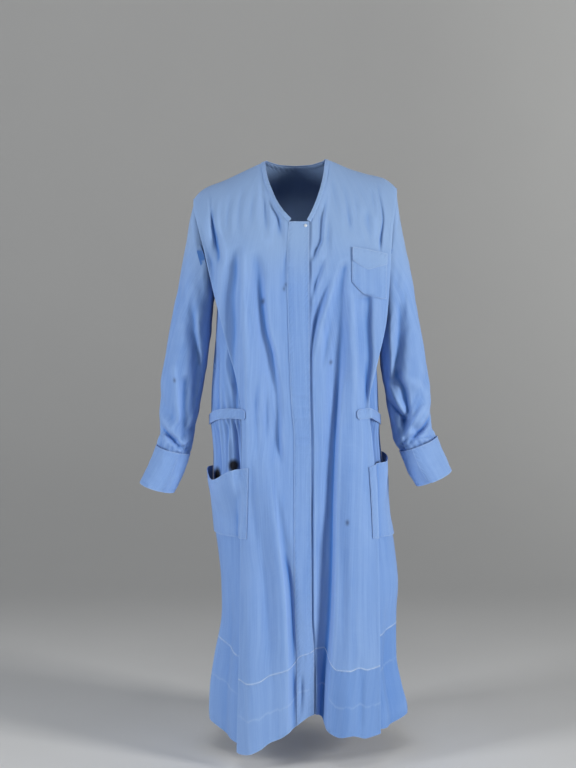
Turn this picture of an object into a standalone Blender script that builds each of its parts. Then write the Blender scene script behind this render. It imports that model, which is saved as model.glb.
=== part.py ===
"""Long cotton uniform dress, worn shape, empty inside.

Metres. The origin is the middle of the neck opening at the height of the neck points, +Z is up and
the front of the dress faces -Y. Right and left are the wearer's, so the right side is at -X.
"""
import math

import bpy
from mathutils import Vector

CLOTH = 0.0012            # wall of the single cloth pieces
DOUBLE = 0.0016           # wall of the doubled pieces: cuffs, belt
LAID_GAP = 0.0007         # air between a piece and what is laid on it
CURVED_GAP = 0.0013       # the same where both curve round the side
SEAM_GAP = 0.0003         # air between two pieces that meet edge to edge
SEAM_DRAW = 0.0006        # how far each side-back seam edge is drawn in
LAP_DEPTH = 0.0030        # how far the left front lies behind the right front under the placket
STEP = 0.0005             # step used to measure the slope of a surface
PLACKET_WALL = 0.0010     # wall of the placket strip, laid on the right front

ROLL_TIP = 0.100          # drop over which the cloth comes forward at the shoulder tip
ROLL_NECK = 0.165         # the same beside the neck
NECK_HALF = 0.066         # half width of the neck opening
SHOULDER_HALF = 0.204     # neck middle to shoulder tip
BACK_SEAM_HALF = 0.2035   # the same along the back's half of the shoulder seam
SEAM_BACK = 0.6           # share of the seam gap that each side of the shoulder seam draws back

PLEAT_TUCK = 0.0100       # how far the pleat edge is turned back under
PLEAT_DEPTH = 0.0045      # how far behind the front the turned edge lies
PLEAT_ROUND = 0.0022      # how far behind the front the edge itself lies
PLEAT_INSET = 0.0016      # last flat column of a front, this far in from the pleat edge
PLEAT_NEAR = 0.0065       # the column before it, where the pleat is narrow near the top
SIDE_START = 0.026        # side panels begin this far in from the pleat edge
SEAM_SHARE = 0.93         # side-back seam, as a share of the half width
UNDERLAP = 0.034          # left front runs this far under the placket
PLACKET_WIDE = 0.043      # width of the placket at the top
HEM_BELOW = 0.003         # side skirts end this far above the corner of the front hem
AWAY = 1.3                # weight of y when a side panel is moved outwards

BELT_HIGH = 0.020         # height of the half belt
WAIST_FRONT = -0.494      # waist seam at the front
WAIST_SIDE = -0.519       # waist seam at the sides and back
TAB_RIGHT = 0.010         # length of belt tab lying on the right front
TAB_LEFT = 0.026          # the same on the left front

BINDING_WIDE = 0.008
BINDING_RISE = (0.0004, 0.0021)   # extra lift of the binding low on the V, and from the shoulders up
BUTTON_RADIUS = 0.0055
BUTTON_THICK = 0.0022
STUD_RADIUS = 0.0032
STUD_THICK = 0.0016
STUD_AT = (0.0200, -0.1235)       # x and height of the stud on the placket
STUD_LIFT = 0.0005
BUTTON_AT = 0.62          # belt button, share of the way back from the end of the left tab
BUTTON_LIFT = 0.0004

GATHERS_SKIRT = 11        # waves in each side skirt
GATHERS_BODICE = 5        # waves in each side bodice at the belt
GATHERS_SLEEVE = 6        # waves round each sleeve at the cuff

# height of the shoulder line: distance from the middle, right side, left side
SHOULDER = (
    (0.000, 0.020, 0.020),
    (0.066, -0.002, 0.004),
    (0.110, -0.022, -0.014),
    (0.140, -0.036, -0.023),
    (0.176, -0.050, -0.032),
    (0.193, -0.062, -0.043),
    (0.204, -0.076, -0.054),
)
# front neckline: distance from the middle, height
NECK_RIGHT = ((0.011, -0.116), (0.026, -0.100), (0.040, -0.080), (0.052, -0.056), (0.0595, -0.036),
              (0.0635, -0.020), (0.066, -0.002))
NECK_LEFT = ((0.027, -0.118), (0.036, -0.101), (0.0455, -0.080), (0.0545, -0.056), (0.0600, -0.036),
             (0.0635, -0.018), (0.066, 0.004))
# back neckline: distance from the middle, height
NECK_BACK = ((0.000, -0.014), (0.030, -0.012), (0.052, -0.006), (0.066, 0.001))

# fronts: height, middle x, half width, depth, squareness
FRONT = (
    (0.030, 0.000, 0.226, 0.080, 2.6),
    (-0.060, 0.000, 0.224, 0.094, 2.6),
    (-0.120, 0.000, 0.221, 0.104, 2.6),
    (-0.180, 0.000, 0.215, 0.114, 2.6),
    (-0.260, 0.002, 0.206, 0.121, 2.6),
    (-0.350, 0.004, 0.195, 0.120, 2.6),
    (-0.450, 0.008, 0.186, 0.117, 2.6),
    (-0.510, 0.010, 0.184, 0.117, 2.6),
    (-0.600, 0.012, 0.188, 0.123, 2.6),
    (-0.750, 0.018, 0.198, 0.138, 2.6),
    (-0.900, 0.024, 0.205, 0.154, 2.6),
    (-1.050, 0.028, 0.215, 0.171, 2.6),
    (-1.180, 0.028, 0.222, 0.184, 2.6),
)
# sides and back: height, right-most x, left-most x, front depth, back depth, squareness
BODY = (
    (-0.240, -0.155, 0.157, 0.112, 0.118, 2.8),
    (-0.260, -0.156, 0.158, 0.113, 0.118, 2.8),
    (-0.340, -0.160, 0.161, 0.113, 0.118, 2.8),
    (-0.410, -0.166, 0.166, 0.110, 0.112, 2.8),
    (-0.470, -0.170, 0.169, 0.108, 0.106, 2.8),
    (-0.520, -0.171, 0.171, 0.107, 0.104, 2.7),
    (-0.600, -0.166, 0.177, 0.112, 0.112, 2.6),
    (-0.700, -0.166, 0.190, 0.122, 0.124, 2.5),
    (-0.780, -0.158, 0.204, 0.130, 0.132, 2.5),
    (-0.850, -0.151, 0.211, 0.138, 0.140, 2.5),
    (-0.910, -0.148, 0.206, 0.143, 0.146, 2.5),
    (-1.000, -0.161, 0.203, 0.152, 0.156, 2.5),
    (-1.060, -0.169, 0.214, 0.157, 0.163, 2.5),
    (-1.110, -0.171, 0.226, 0.161, 0.168, 2.5),
    (-1.180, -0.160, 0.212, 0.166, 0.174, 2.5),
)
# back above the underarm: height, half width, depth, squareness
BACK_TOP = (
    (0.030, 0.226, 0.070, 2.6),
    (-0.060, 0.222, 0.092, 2.6),
    (-0.100, 0.215, 0.102, 2.6),
    (-0.150, 0.196, 0.112, 2.6),
    (-0.200, 0.176, 0.117, 2.7),
    (-0.260, 0.157, 0.118, 2.8),
)
# back armhole edge: height, distance from the middle
BACK_EDGE = (
    (-0.060, 0.2040),
    (-0.076, 0.2035),
    (-0.100, 0.190),
    (-0.130, 0.174),
    (-0.180, 0.157),
    (-0.220, 0.149),
    (-0.262, 0.1460),
)
# top edge of the side bodice: share round from the front, height
UNDERARM = ((0.0, -0.217), (0.25, -0.249), (0.50, -0.269), (0.72, -0.2725), (1.0, -0.264))
# outer (pleat) edge of each front: height, x
PLEAT_RIGHT = (
    (0.000, -0.204), (-0.080, -0.204), (-0.123, -0.194), (-0.182, -0.178), (-0.256, -0.162),
    (-0.349, -0.138), (-0.426, -0.118), (-0.488, -0.108), (-0.596, -0.106), (-0.786, -0.110),
    (-0.943, -0.112), (-1.149, -0.117),
)
PLEAT_LEFT = (
    (0.000, 0.204), (-0.056, 0.204), (-0.084, 0.200), (-0.137, 0.193), (-0.195, 0.190),
    (-0.305, 0.183), (-0.396, 0.164), (-0.480, 0.147), (-0.548, 0.154), (-0.667, 0.163),
    (-0.786, 0.167), (-0.905, 0.169), (-1.131, 0.171),
)
# placket: height, x of its stitched edge, x of its lapping edge
PLACKET = (
    (-0.116, -0.012, 0.027),
    (-0.190, -0.016, 0.027),
    (-0.465, -0.008, 0.029),
    (-0.545, -0.002, 0.031),
    (-0.780, -0.002, 0.032),
    (-0.900, 0.000, 0.033),
    (-0.976, 0.003, 0.038),
    (-1.180, 0.003, 0.038),
)
# hem of the fronts: x, height
HEM_FRONT = (
    (-0.120, -1.160), (-0.109, -1.163), (-0.093, -1.161), (-0.069, -1.151), (-0.050, -1.138),
    (-0.030, -1.130), (-0.010, -1.118), (0.010, -1.104), (0.029, -1.092), (0.039, -1.089),
    (0.052, -1.096), (0.061, -1.114), (0.088, -1.125), (0.112, -1.121), (0.140, -1.130),
    (0.164, -1.128), (0.176, -1.124),
)
# hem of the sides, and the back: y, right side height, left side height
HEM_SIDE = (
    (-0.190, -1.162, -1.126),
    (-0.110, -1.152, -1.128),
    (-0.050, -1.132, -1.118),
    (0.020, -1.122, -1.112),
    (0.100, -1.128, -1.122),
    (0.180, -1.134, -1.134),
)

# Folds. Each row: height, x, width towards -X, width towards +X, how far the cloth stands out.
RIGHT_FOLDS = (
    ((-0.050, -0.100, 0.012, 0.012, 0.000), (-0.090, -0.106, 0.012, 0.013, -0.005),
     (-0.160, -0.104, 0.014, 0.014, 0.000)),
    ((-0.055, -0.124, 0.010, 0.010, 0.000), (-0.090, -0.124, 0.010, 0.011, -0.004),
     (-0.180, -0.128, 0.014, 0.014, 0.000)),
    ((-0.070, -0.040, 0.010, 0.010, 0.000), (-0.110, -0.042, 0.010, 0.012, -0.004),
     (-0.190, -0.044, 0.014, 0.014, 0.000)),
    ((-0.130, -0.100, 0.016, 0.016, 0.000), (-0.220, -0.093, 0.018, 0.016, 0.008),
     (-0.430, -0.092, 0.016, 0.018, 0.009), (-0.620, -0.092, 0.018, 0.020, 0.004),
     (-0.760, -0.092, 0.018, 0.020, 0.000)),
    ((-0.190, -0.140, 0.014, 0.014, 0.000), (-0.290, -0.130, 0.014, 0.014, -0.008),
     (-0.400, -0.114, 0.012, 0.010, -0.004), (-0.470, -0.112, 0.010, 0.010, 0.000)),
    ((-0.220, -0.074, 0.012, 0.012, 0.000), (-0.280, -0.062, 0.012, 0.012, -0.006),
     (-0.357, -0.050, 0.013, 0.012, -0.008), (-0.465, -0.028, 0.014, 0.012, -0.007),
     (-0.600, -0.026, 0.014, 0.014, 0.000)),
    ((-0.540, -0.052, 0.018, 0.012, 0.000), (-0.660, -0.040, 0.022, 0.010, 0.009),
     (-0.800, -0.024, 0.024, 0.010, 0.012), (-0.930, -0.013, 0.026, 0.010, 0.010),
     (-1.060, -0.006, 0.026, 0.012, 0.003), (-1.120, -0.006, 0.026, 0.012, 0.000)),
    ((-0.700, -0.088, 0.026, 0.030, 0.000), (-0.950, -0.092, 0.028, 0.034, 0.012),
     (-1.180, -0.092, 0.030, 0.040, 0.022)),
    ((-0.600, 0.034, 0.030, 0.012, 0.000), (-0.850, 0.036, 0.036, 0.012, -0.010),
     (-1.180, 0.038, 0.044, 0.014, -0.026)),
)
LEFT_FOLDS = (
    ((-0.085, 0.046, 0.010, 0.008, 0.000), (-0.130, 0.037, 0.010, 0.009, -0.009),
     (-0.170, 0.031, 0.010, 0.012, -0.008), (-0.230, 0.030, 0.010, 0.012, 0.000)),
    ((-0.180, 0.104, 0.014, 0.014, 0.000), (-0.245, 0.076, 0.014, 0.013, 0.006),
     (-0.300, 0.052, 0.014, 0.013, 0.007), (-0.400, 0.034, 0.012, 0.014, 0.000)),
    ((-0.230, 0.076, 0.012, 0.012, 0.000), (-0.320, 0.082, 0.013, 0.012, -0.008),
     (-0.420, 0.089, 0.014, 0.012, -0.009), (-0.500, 0.090, 0.016, 0.012, -0.006),
     (-0.570, 0.084, 0.018, 0.012, 0.000)),
    ((-0.430, 0.066, 0.018, 0.014, 0.000), (-0.520, 0.066, 0.018, 0.014, -0.014),
     (-0.620, 0.058, 0.018, 0.013, -0.030), (-0.760, 0.053, 0.016, 0.012, -0.040),
     (-0.900, 0.052, 0.015, 0.011, -0.044), (-1.000, 0.053, 0.015, 0.011, -0.046),
     (-1.180, 0.050, 0.014, 0.011, -0.050)),
    ((-0.180, 0.120, 0.014, 0.014, 0.000), (-0.300, 0.109, 0.014, 0.014, 0.007),
     (-0.430, 0.112, 0.014, 0.014, 0.007), (-0.600, 0.112, 0.018, 0.018, 0.000)),
    ((-0.270, 0.146, 0.014, 0.014, 0.000), (-0.350, 0.143, 0.014, 0.013, -0.008),
     (-0.440, 0.140, 0.012, 0.012, -0.005), (-0.480, 0.138, 0.010, 0.010, 0.000)),
    ((-0.520, 0.108, 0.024, 0.028, 0.000), (-0.700, 0.108, 0.028, 0.034, 0.014),
     (-0.900, 0.108, 0.030, 0.036, 0.020), (-1.180, 0.108, 0.034, 0.038, 0.024)),
    ((-0.040, 0.098, 0.011, 0.011, 0.000), (-0.080, 0.099, 0.011, 0.012, -0.004),
     (-0.150, 0.100, 0.014, 0.014, 0.000)),
    ((-0.045, 0.130, 0.010, 0.010, 0.000), (-0.090, 0.132, 0.010, 0.011, -0.003),
     (-0.160, 0.136, 0.012, 0.012, 0.000)),
)
# soft folds that fall from the gathers. Each row: place round the panel, half width, depth at the hem
SIDE_FOLDS = ((0.30, 0.09, -0.010), (0.52, 0.08, 0.008), (0.74, 0.09, -0.009))
BACK_FOLDS = ((-0.62, 0.14, -0.012), (-0.22, 0.13, 0.010), (0.20, 0.13, -0.010), (0.60, 0.14, 0.010))

# sleeves: place, outer x, outer height, inner x, inner height, middle y, half depth (x outwards)
SLEEVE_RIGHT = (
    (0, 0.2030, -0.0840, 0.1605, -0.2685, 0.004, 0.056),
    (1, 0.2110, -0.1150, 0.1645, -0.2850, 0.004, 0.062),
    (2, 0.2180, -0.1580, 0.1660, -0.3050, 0.004, 0.065),
    (3, 0.2260, -0.2010, 0.1675, -0.3250, 0.003, 0.065),
    (4, 0.2340, -0.2460, 0.1690, -0.3450, 0.002, 0.064),
    (5, 0.2440, -0.2900, 0.1720, -0.3680, 0.001, 0.062),
    (6, 0.2530, -0.3340, 0.1760, -0.3980, 0.000, 0.060),
    (7, 0.2610, -0.3780, 0.1815, -0.4300, -0.001, 0.058),
    (8, 0.2680, -0.4200, 0.1875, -0.4620, -0.004, 0.056),
    (9, 0.2730, -0.4650, 0.1935, -0.4940, -0.008, 0.053),
    (10, 0.2740, -0.5080, 0.2000, -0.5270, -0.013, 0.049),
    (11, 0.2720, -0.5400, 0.2055, -0.5550, -0.019, 0.044),
    (12, 0.2745, -0.5600, 0.2130, -0.5760, -0.024, 0.036),
    (13, 0.2765, -0.5725, 0.2175, -0.5875, -0.027, 0.0315),
)
SLEEVE_LEFT = (
    (0, 0.2035, -0.0640, 0.1635, -0.2685, 0.004, 0.056),
    (1, 0.2090, -0.1030, 0.1650, -0.2850, 0.004, 0.062),
    (2, 0.2190, -0.1540, 0.1665, -0.3050, 0.004, 0.065),
    (3, 0.2280, -0.2010, 0.1675, -0.3250, 0.003, 0.065),
    (4, 0.2370, -0.2460, 0.1690, -0.3450, 0.002, 0.064),
    (5, 0.2455, -0.2900, 0.1700, -0.3680, 0.001, 0.062),
    (6, 0.2530, -0.3340, 0.1715, -0.3980, 0.000, 0.060),
    (7, 0.2610, -0.3780, 0.1745, -0.4300, -0.001, 0.058),
    (8, 0.2690, -0.4200, 0.1800, -0.4620, -0.004, 0.056),
    (9, 0.2745, -0.4650, 0.1860, -0.4940, -0.008, 0.053),
    (10, 0.2760, -0.5050, 0.1930, -0.5270, -0.014, 0.049),
    (11, 0.2750, -0.5300, 0.2000, -0.5540, -0.021, 0.044),
    (12, 0.2790, -0.5450, 0.2095, -0.5710, -0.027, 0.036),
    (13, 0.2825, -0.5555, 0.2170, -0.5822, -0.030, 0.0315),
)
# front armhole edge, hidden behind the pleat: share of the way down, x outwards, y
ARMHOLE_FRONT = (
    (0.00, 0.2030, 0.000), (0.15, 0.189, -0.026), (0.35, 0.173, -0.042), (0.62, 0.161, -0.048),
    (0.86, 0.158, -0.034), (1.00, 0.160, 0.004),
)
# cuffs: place, outer x, outer height, inner x, inner height, middle y, half depth
CUFF_RIGHT = (
    (0, 0.2800, -0.5660, 0.2110, -0.5840, -0.027, 0.0385),
    (1, 0.2900, -0.5900, 0.2195, -0.6100, -0.031, 0.0395),
    (2, 0.3010, -0.6150, 0.2305, -0.6360, -0.036, 0.0410),
    (3, 0.3130, -0.6400, 0.2430, -0.6610, -0.041, 0.0430),
)
CUFF_LEFT = (
    (0, 0.2865, -0.5480, 0.2100, -0.5790, -0.030, 0.0385),
    (1, 0.2950, -0.5710, 0.2200, -0.6030, -0.035, 0.0395),
    (2, 0.3050, -0.5930, 0.2310, -0.6260, -0.040, 0.0410),
    (3, 0.3150, -0.6150, 0.2430, -0.6470, -0.045, 0.0430),
)
# creases of the sleeves: place, angle, slope, half length in place, half span in degrees, depth
SLEEVE_CREASES_RIGHT = (
    (9.6, 60.0, 0.010, 0.55, 60.0, -0.0060),
    (10.6, 130.0, -0.012, 0.50, 50.0, -0.0050),
    (6.0, 100.0, 0.020, 1.10, 55.0, -0.0045),
    (8.0, 40.0, -0.018, 0.80, 50.0, 0.0040),
)
SLEEVE_CREASES_LEFT = (
    (9.0, 70.0, 0.020, 0.50, 55.0, -0.0085),
    (9.9, 110.0, -0.022, 0.50, 60.0, -0.0080),
    (10.6, 50.0, 0.015, 0.45, 50.0, -0.0060),
    (6.2, 110.0, 0.020, 1.10, 50.0, -0.0045),
)

# pockets on the hips: height of the front end of the mouth, of its back end, of the foot at the front
# and at the back, dip of the mouth, how far the mouth stands open
HIP_RIGHT = {"mouth_front": -0.600, "mouth_back": -0.612, "foot_front": -0.740, "foot_back": -0.744,
             "dip": 0.014, "open": 0.022}
HIP_LEFT = {"mouth_front": -0.600, "mouth_back": -0.585, "foot_front": -0.740, "foot_back": -0.752,
            "dip": 0.004, "open": 0.013}
HIP_LAP = 0.013           # how far each hip pocket laps on to the front

# breast pocket: x, top, bottom; and its flap
BREAST = (
    (0.111, -0.1665, -0.2320),
    (0.121, -0.1680, -0.2445),
    (0.133, -0.1700, -0.2550),
    (0.146, -0.1720, -0.2600),
    (0.159, -0.1750, -0.2640),
    (0.170, -0.1780, -0.2670),
    (0.179, -0.1810, -0.2680),
)
FLAP = (
    (0.1115, -0.1645, -0.190),
    (0.1210, -0.1660, -0.197),
    (0.1320, -0.1680, -0.204),
    (0.1420, -0.1700, -0.209),
    (0.1540, -0.1730, -0.206),
    (0.1670, -0.1760, -0.203),
    (0.1790, -0.1790, -0.200),
)


def clamp(value, low, high):
    return max(low, min(high, value))


def ease(t):
    t = clamp(t, 0.0, 1.0)
    return t * t * (3.0 - 2.0 * t)


def mix(a, b, t):
    return a + (b - a) * t


def along(rows, key, column=1):
    """Smooth value of one table column at a key; the keys may run up or down the table."""
    if rows[0][0] > rows[-1][0]:
        rows = rows[::-1]
    last = len(rows) - 1
    if key <= rows[0][0]:
        return rows[0][column]
    if key >= rows[last][0]:
        return rows[last][column]
    i = 0
    while rows[i + 1][0] < key:
        i += 1

    def rise(k):
        return (rows[k + 1][column] - rows[k][column]) / (rows[k + 1][0] - rows[k][0])

    def slope(k):
        if k == 0:
            return rise(0)
        if k == last:
            return rise(last - 1)
        before, after = rise(k - 1), rise(k)
        if before * after <= 0.0:
            return 0.0
        return 2.0 * before * after / (before + after)

    span = rows[i + 1][0] - rows[i][0]
    t = (key - rows[i][0]) / span
    a, b = rows[i][column], rows[i + 1][column]
    m, n = slope(i) * span, slope(i + 1) * span
    t2, t3 = t * t, t * t * t
    return (2 * t3 - 3 * t2 + 1) * a + (t3 - 2 * t2 + t) * m + (3 * t2 - 2 * t3) * b + (t3 - t2) * n


def folds_at(folds, x, z):
    """How far the cloth stands out at a point, from a table of folds."""
    total = 0.0
    for rows in folds:
        if rows[-1][0] <= z <= rows[0][0] or (z < rows[-1][0] and rows[-1][4] != 0.0):
            middle = along(rows, z, 1)
            wide = along(rows, z, 2 if x < middle else 3)
            total += along(rows, z, 4) * math.exp(-((x - middle) / wide) ** 2)
    return total


def shoulder(x):
    return along(SHOULDER, abs(x), 1 if x < 0.0 else 2)


def roll(x, z):
    """Share of the full depth reached at a drop below the shoulder line."""
    out = clamp((abs(x) - NECK_HALF) / (SHOULDER_HALF - NECK_HALF), 0.0, 1.0)
    share = clamp((shoulder(x) - z) / mix(ROLL_NECK, ROLL_TIP, out), 0.0, 1.0)
    return (1.0 - (1.0 - share) ** 2) ** mix(0.75, 0.55, out)


def bow(x, middle, half, depth, square):
    """Depth of a flattened oval at x."""
    share = min(abs(x - middle) / half, 0.999)
    return depth * (1.0 - share ** square) ** (1.0 / square)


def front_y(x, z, folds):
    base = bow(x, along(FRONT, z, 1), along(FRONT, z, 2), along(FRONT, z, 3), along(FRONT, z, 4))
    return -(base + folds_at(folds, x, z)) * roll(x, z)


def surface_normal(point_at, x, z):
    across = point_at(x + STEP, z) - point_at(x - STEP, z)
    down = point_at(x, z - STEP) - point_at(x, z)
    return across.cross(down).normalized()


def right_front(x, z):
    return Vector((x, front_y(x, z, RIGHT_FOLDS), z))


def left_front(x, z):
    return Vector((x, front_y(x, z, LEFT_FOLDS), z))


def front_normal(point_at, x, z):
    """Outward normal of a front, kept level with the shoulder seam at its top."""
    normal = surface_normal(point_at, x, z)
    return -normal if normal.y > 0.0 else normal


def body_ring(angle, z, out=0.0):
    """Point of the body section at a height; angle 0 is left, 90 front, 180 right, 270 back."""
    right, left = along(BODY, z, 1), along(BODY, z, 2)
    square = along(BODY, z, 5)
    middle, half = (right + left) / 2.0, (left - right) / 2.0
    turn = math.radians(angle)
    c, s = math.cos(turn), math.sin(turn)
    depth = along(BODY, z, 3 if s > 0.0 else 4)
    reach = (abs(c / half) ** square + abs(s / depth) ** square) ** (-1.0 / square)
    return Vector((middle + (reach + out) * c, -(reach + out) * s, z))


def ring_angle(x, z, front):
    """Angle at which the body section passes x, on its front or back half."""
    right, left = along(BODY, z, 1), along(BODY, z, 2)
    middle, half = (right + left) / 2.0, (left - right) / 2.0
    depth = bow(x, middle, half, along(BODY, z, 3 if front else 4), along(BODY, z, 5))
    angle = math.degrees(math.atan2(depth if front else -depth, x - middle))
    return angle if angle > -90.0 else angle + 360.0


def pleat_x(side, z):
    return along(PLEAT_RIGHT if side < 0 else PLEAT_LEFT, z)


def seam_x(side, z):
    """x of the side-back seam below the underarm."""
    right, left = along(BODY, z, 1), along(BODY, z, 2)
    return (right + left) / 2.0 + side * SEAM_SHARE * (left - right) / 2.0


def side_point(side, u, z, out=0.0):
    """Side panel: u 0 is its hidden front edge behind the pleat, u 1 the side-back seam."""
    start = pleat_x(side, z) - side * SIDE_START
    first = ring_angle(start, z, True)
    last = ring_angle(seam_x(side, z), z, False)
    if side > 0 and last > 180.0:
        last -= 360.0
    point = body_ring(mix(first, last, u), z, out)
    edge = pleat_x(side, z)
    inside = clamp(side * (edge - point.x), 0.0, SIDE_START)
    front = right_front if side < 0 else left_front
    if side * point.x < side * edge + 0.02 and point.y < 0.0:
        clear = along(((0.000, 0.0085), (0.010, 0.0064), (SIDE_START, CLOTH + LAID_GAP)), inside)
        at_x = side * min(side * point.x, side * edge)
        limit = front(at_x, z).y + clear
        if point.y < limit:
            point.y = limit
    return point


def waist_z(y):
    return mix(WAIST_FRONT, WAIST_SIDE, ease((y + 0.10) / 0.10))


def back_point(w, z):
    """Back of the dress: w -1 is the right edge, 1 the left edge."""
    if z > BACK_EDGE[-1][0]:
        x = w * along(BACK_EDGE, z)
        depth = bow(x, 0.0, along(BACK_TOP, z, 1), along(BACK_TOP, z, 2), along(BACK_TOP, z, 3))
        return Vector((x, depth * roll(x, z), z))
    right, left = seam_x(-1, z), seam_x(1, z)
    x = mix(right, left, (w + 1.0) / 2.0)
    low, high = along(BODY, z, 1), along(BODY, z, 2)
    depth = bow(x, (low + high) / 2.0, (high - low) / 2.0, along(BODY, z, 4), along(BODY, z, 5))
    return Vector((x, depth, z))


def grid_normals(grid, closed=False):
    """Outward normals of a grid of points, rows running down and columns round to the left."""
    rows, cols = len(grid), len(grid[0])
    normals = []
    for j in range(rows):
        line = []
        for i in range(cols):
            if closed:
                before, after = grid[j][(i - 1) % cols], grid[j][(i + 1) % cols]
            else:
                before, after = grid[j][max(i - 1, 0)], grid[j][min(i + 1, cols - 1)]
            above, below = grid[max(j - 1, 0)][i], grid[min(j + 1, rows - 1)][i]
            line.append((below - above).cross(after - before).normalized())
        normals.append(line)
    return normals


def flatten(normals, rows=(), cols=(), axis="z"):
    """Takes one axis out of the normals along chosen rows or columns, so seams meet square."""
    keep = {"x": Vector((0, 1, 1)), "y": Vector((1, 0, 1)), "z": Vector((1, 1, 0))}[axis]
    for j, line in enumerate(normals):
        for i, normal in enumerate(line):
            if j in rows or i in cols:
                line[i] = Vector((normal.x * keep.x, normal.y * keep.y, normal.z * keep.z)).normalized()


def material(name, colour, rough, sheen=0.0):
    made = bpy.data.materials.new(name)
    made.use_nodes = True
    shader = made.node_tree.nodes["Principled BSDF"]
    shader.inputs["Base Color"].default_value = (*colour, 1.0)
    shader.inputs["Roughness"].default_value = rough
    shader.inputs["Sheen Weight"].default_value = sheen
    made.diffuse_color = (*colour, 1.0)
    return made


def add_object(name, verts, faces, look):
    mesh = bpy.data.meshes.new(name)
    mesh.from_pydata([tuple(v) for v in verts], [], faces)
    mesh.validate()
    mesh.shade_smooth()
    made = bpy.data.objects.new(name, mesh)
    made.data.materials.append(look)
    bpy.context.collection.objects.link(made)
    return made


def sheet(name, outer, inner, look, closed=False):
    """Closed wall between two grids of points; closed joins the last column to the first."""
    rows, cols = len(outer), len(outer[0])
    verts = [p for line in outer for p in line] + [p for line in inner for p in line]
    shift = rows * cols
    faces = []
    spans = cols if closed else cols - 1
    for j in range(rows - 1):
        for i in range(spans):
            k = (i + 1) % cols
            a, b, c, d = j * cols + i, j * cols + k, (j + 1) * cols + k, (j + 1) * cols + i
            faces.append((a, d, c, b))
            faces.append((a + shift, b + shift, c + shift, d + shift))
    for i in range(spans):
        k = (i + 1) % cols
        faces.append((i, k, k + shift, i + shift))
        a, b = (rows - 1) * cols + i, (rows - 1) * cols + k
        faces.append((a, a + shift, b + shift, b))
    if not closed:
        for j in range(rows - 1):
            a, d = j * cols, (j + 1) * cols
            faces.append((a, a + shift, d + shift, d))
            b, c = j * cols + cols - 1, (j + 1) * cols + cols - 1
            faces.append((b, c, c + shift, b + shift))
    return add_object(name, verts, faces, look)


def offset(grid, normals, distance):
    return [[p + n * distance for p, n in zip(line, turned)] for line, turned in zip(grid, normals)]


# places of the columns near the shoulders, as shares of the way across a front; evenly spread lower down
TOP_SHARES_RIGHT = (0.000, 0.078, 0.146, 0.208, 0.247, 0.268, 0.281, 0.400, 0.520, 0.640, 0.760,
                    0.860, 0.940)
TOP_SHARES_LEFT = (0.000, 0.052, 0.105, 0.155, 0.187, 0.206, 0.220, 0.340, 0.460, 0.590, 0.720,
                   0.840, 0.930)
ROLL_ROWS = (0.0, 0.010, 0.032, 0.070, 0.125, 0.200, 0.290, 0.390, 0.500, 0.620, 0.740, 0.870)
SHARES_MEET = -0.330      # below this the columns are spread evenly
SHARES_OVER = 0.28        # height over which they change to the places at the top
LAP_FROM = -0.400         # from here down the column beside the edge follows the hip pockets' lap
LAP_OVER = 0.200
ROWS_LEVEL = (-0.400, -0.440, -0.480, -0.520, -0.560, -0.600, -0.640, -0.690, -0.740, -0.800, -0.860,
              -0.920, -0.980)
HEM_ROWS = (0.33, 0.66, 1.0)


def front_columns(side):
    """Each column as a function from height to x, from the middle of the dress outwards."""
    shares = TOP_SHARES_RIGHT if side < 0 else TOP_SHARES_LEFT
    columns = []

    def placket_column(share):
        return lambda z: mix(along(PLACKET, z, 2), along(PLACKET, z, 1), share)

    def spread_column(top, low):
        def x_at(z):
            inner = along(PLACKET, z, 1) if side < 0 else along(PLACKET, z, 2) + STEP
            outer = pleat_x(side, z) - side * PLEAT_INSET
            share = mix(low, top, ease((z - SHARES_MEET) / SHARES_OVER))
            return mix(inner, outer, share)
        return x_at

    def lap_column(z):
        inward = mix(HIP_LAP, PLEAT_NEAR, ease((z - LAP_FROM) / LAP_OVER))
        return pleat_x(side, z) - side * inward

    def edge_column(z):
        return pleat_x(side, z) - side * PLEAT_INSET

    if side < 0:
        columns += [placket_column(0.0), placket_column(1 / 3), placket_column(2 / 3)]
    else:
        columns += [placket_column(UNDERLAP / PLACKET_WIDE), placket_column(2 / 3), placket_column(1 / 3)]
    count = len(shares)
    for k, top in enumerate(shares):
        columns.append(spread_column(top, k / count))
    return columns + [lap_column, edge_column]


def front_top(side, x):
    if abs(x) >= NECK_HALF and (x < 0) == (side < 0):
        return shoulder(x)
    if side < 0:
        return NECK_RIGHT[0][1] if x > -NECK_RIGHT[0][0] else along(NECK_RIGHT, -x)
    return NECK_LEFT[0][1] if x < NECK_LEFT[0][0] else along(NECK_LEFT, x)


def column_top(side, x_at):
    """Height at which a column meets the neckline or the shoulder seam."""
    low, high = -0.20, 0.03
    for _ in range(40):
        z = (low + high) / 2.0
        if z < front_top(side, x_at(z)):
            low = z
        else:
            high = z
    return low


def column_foot(x_at):
    z = -1.12
    for _ in range(20):
        z = along(HEM_FRONT, x_at(z))
    return z


def front_rows(top, foot):
    heights = [mix(top, ROWS_LEVEL[0], share) for share in ROLL_ROWS]
    heights += list(ROWS_LEVEL)
    heights += [mix(ROWS_LEVEL[-1], foot, share) for share in HEM_ROWS]
    return heights


def lapped_y(point, z, column):
    """Depth of the left front where it passes under the placket and at the placket edge."""
    over = right_front(min(point.x, along(PLACKET, z, 2)), z).y + LAP_DEPTH
    return over if column < 3 else max(over, point.y)


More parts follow.
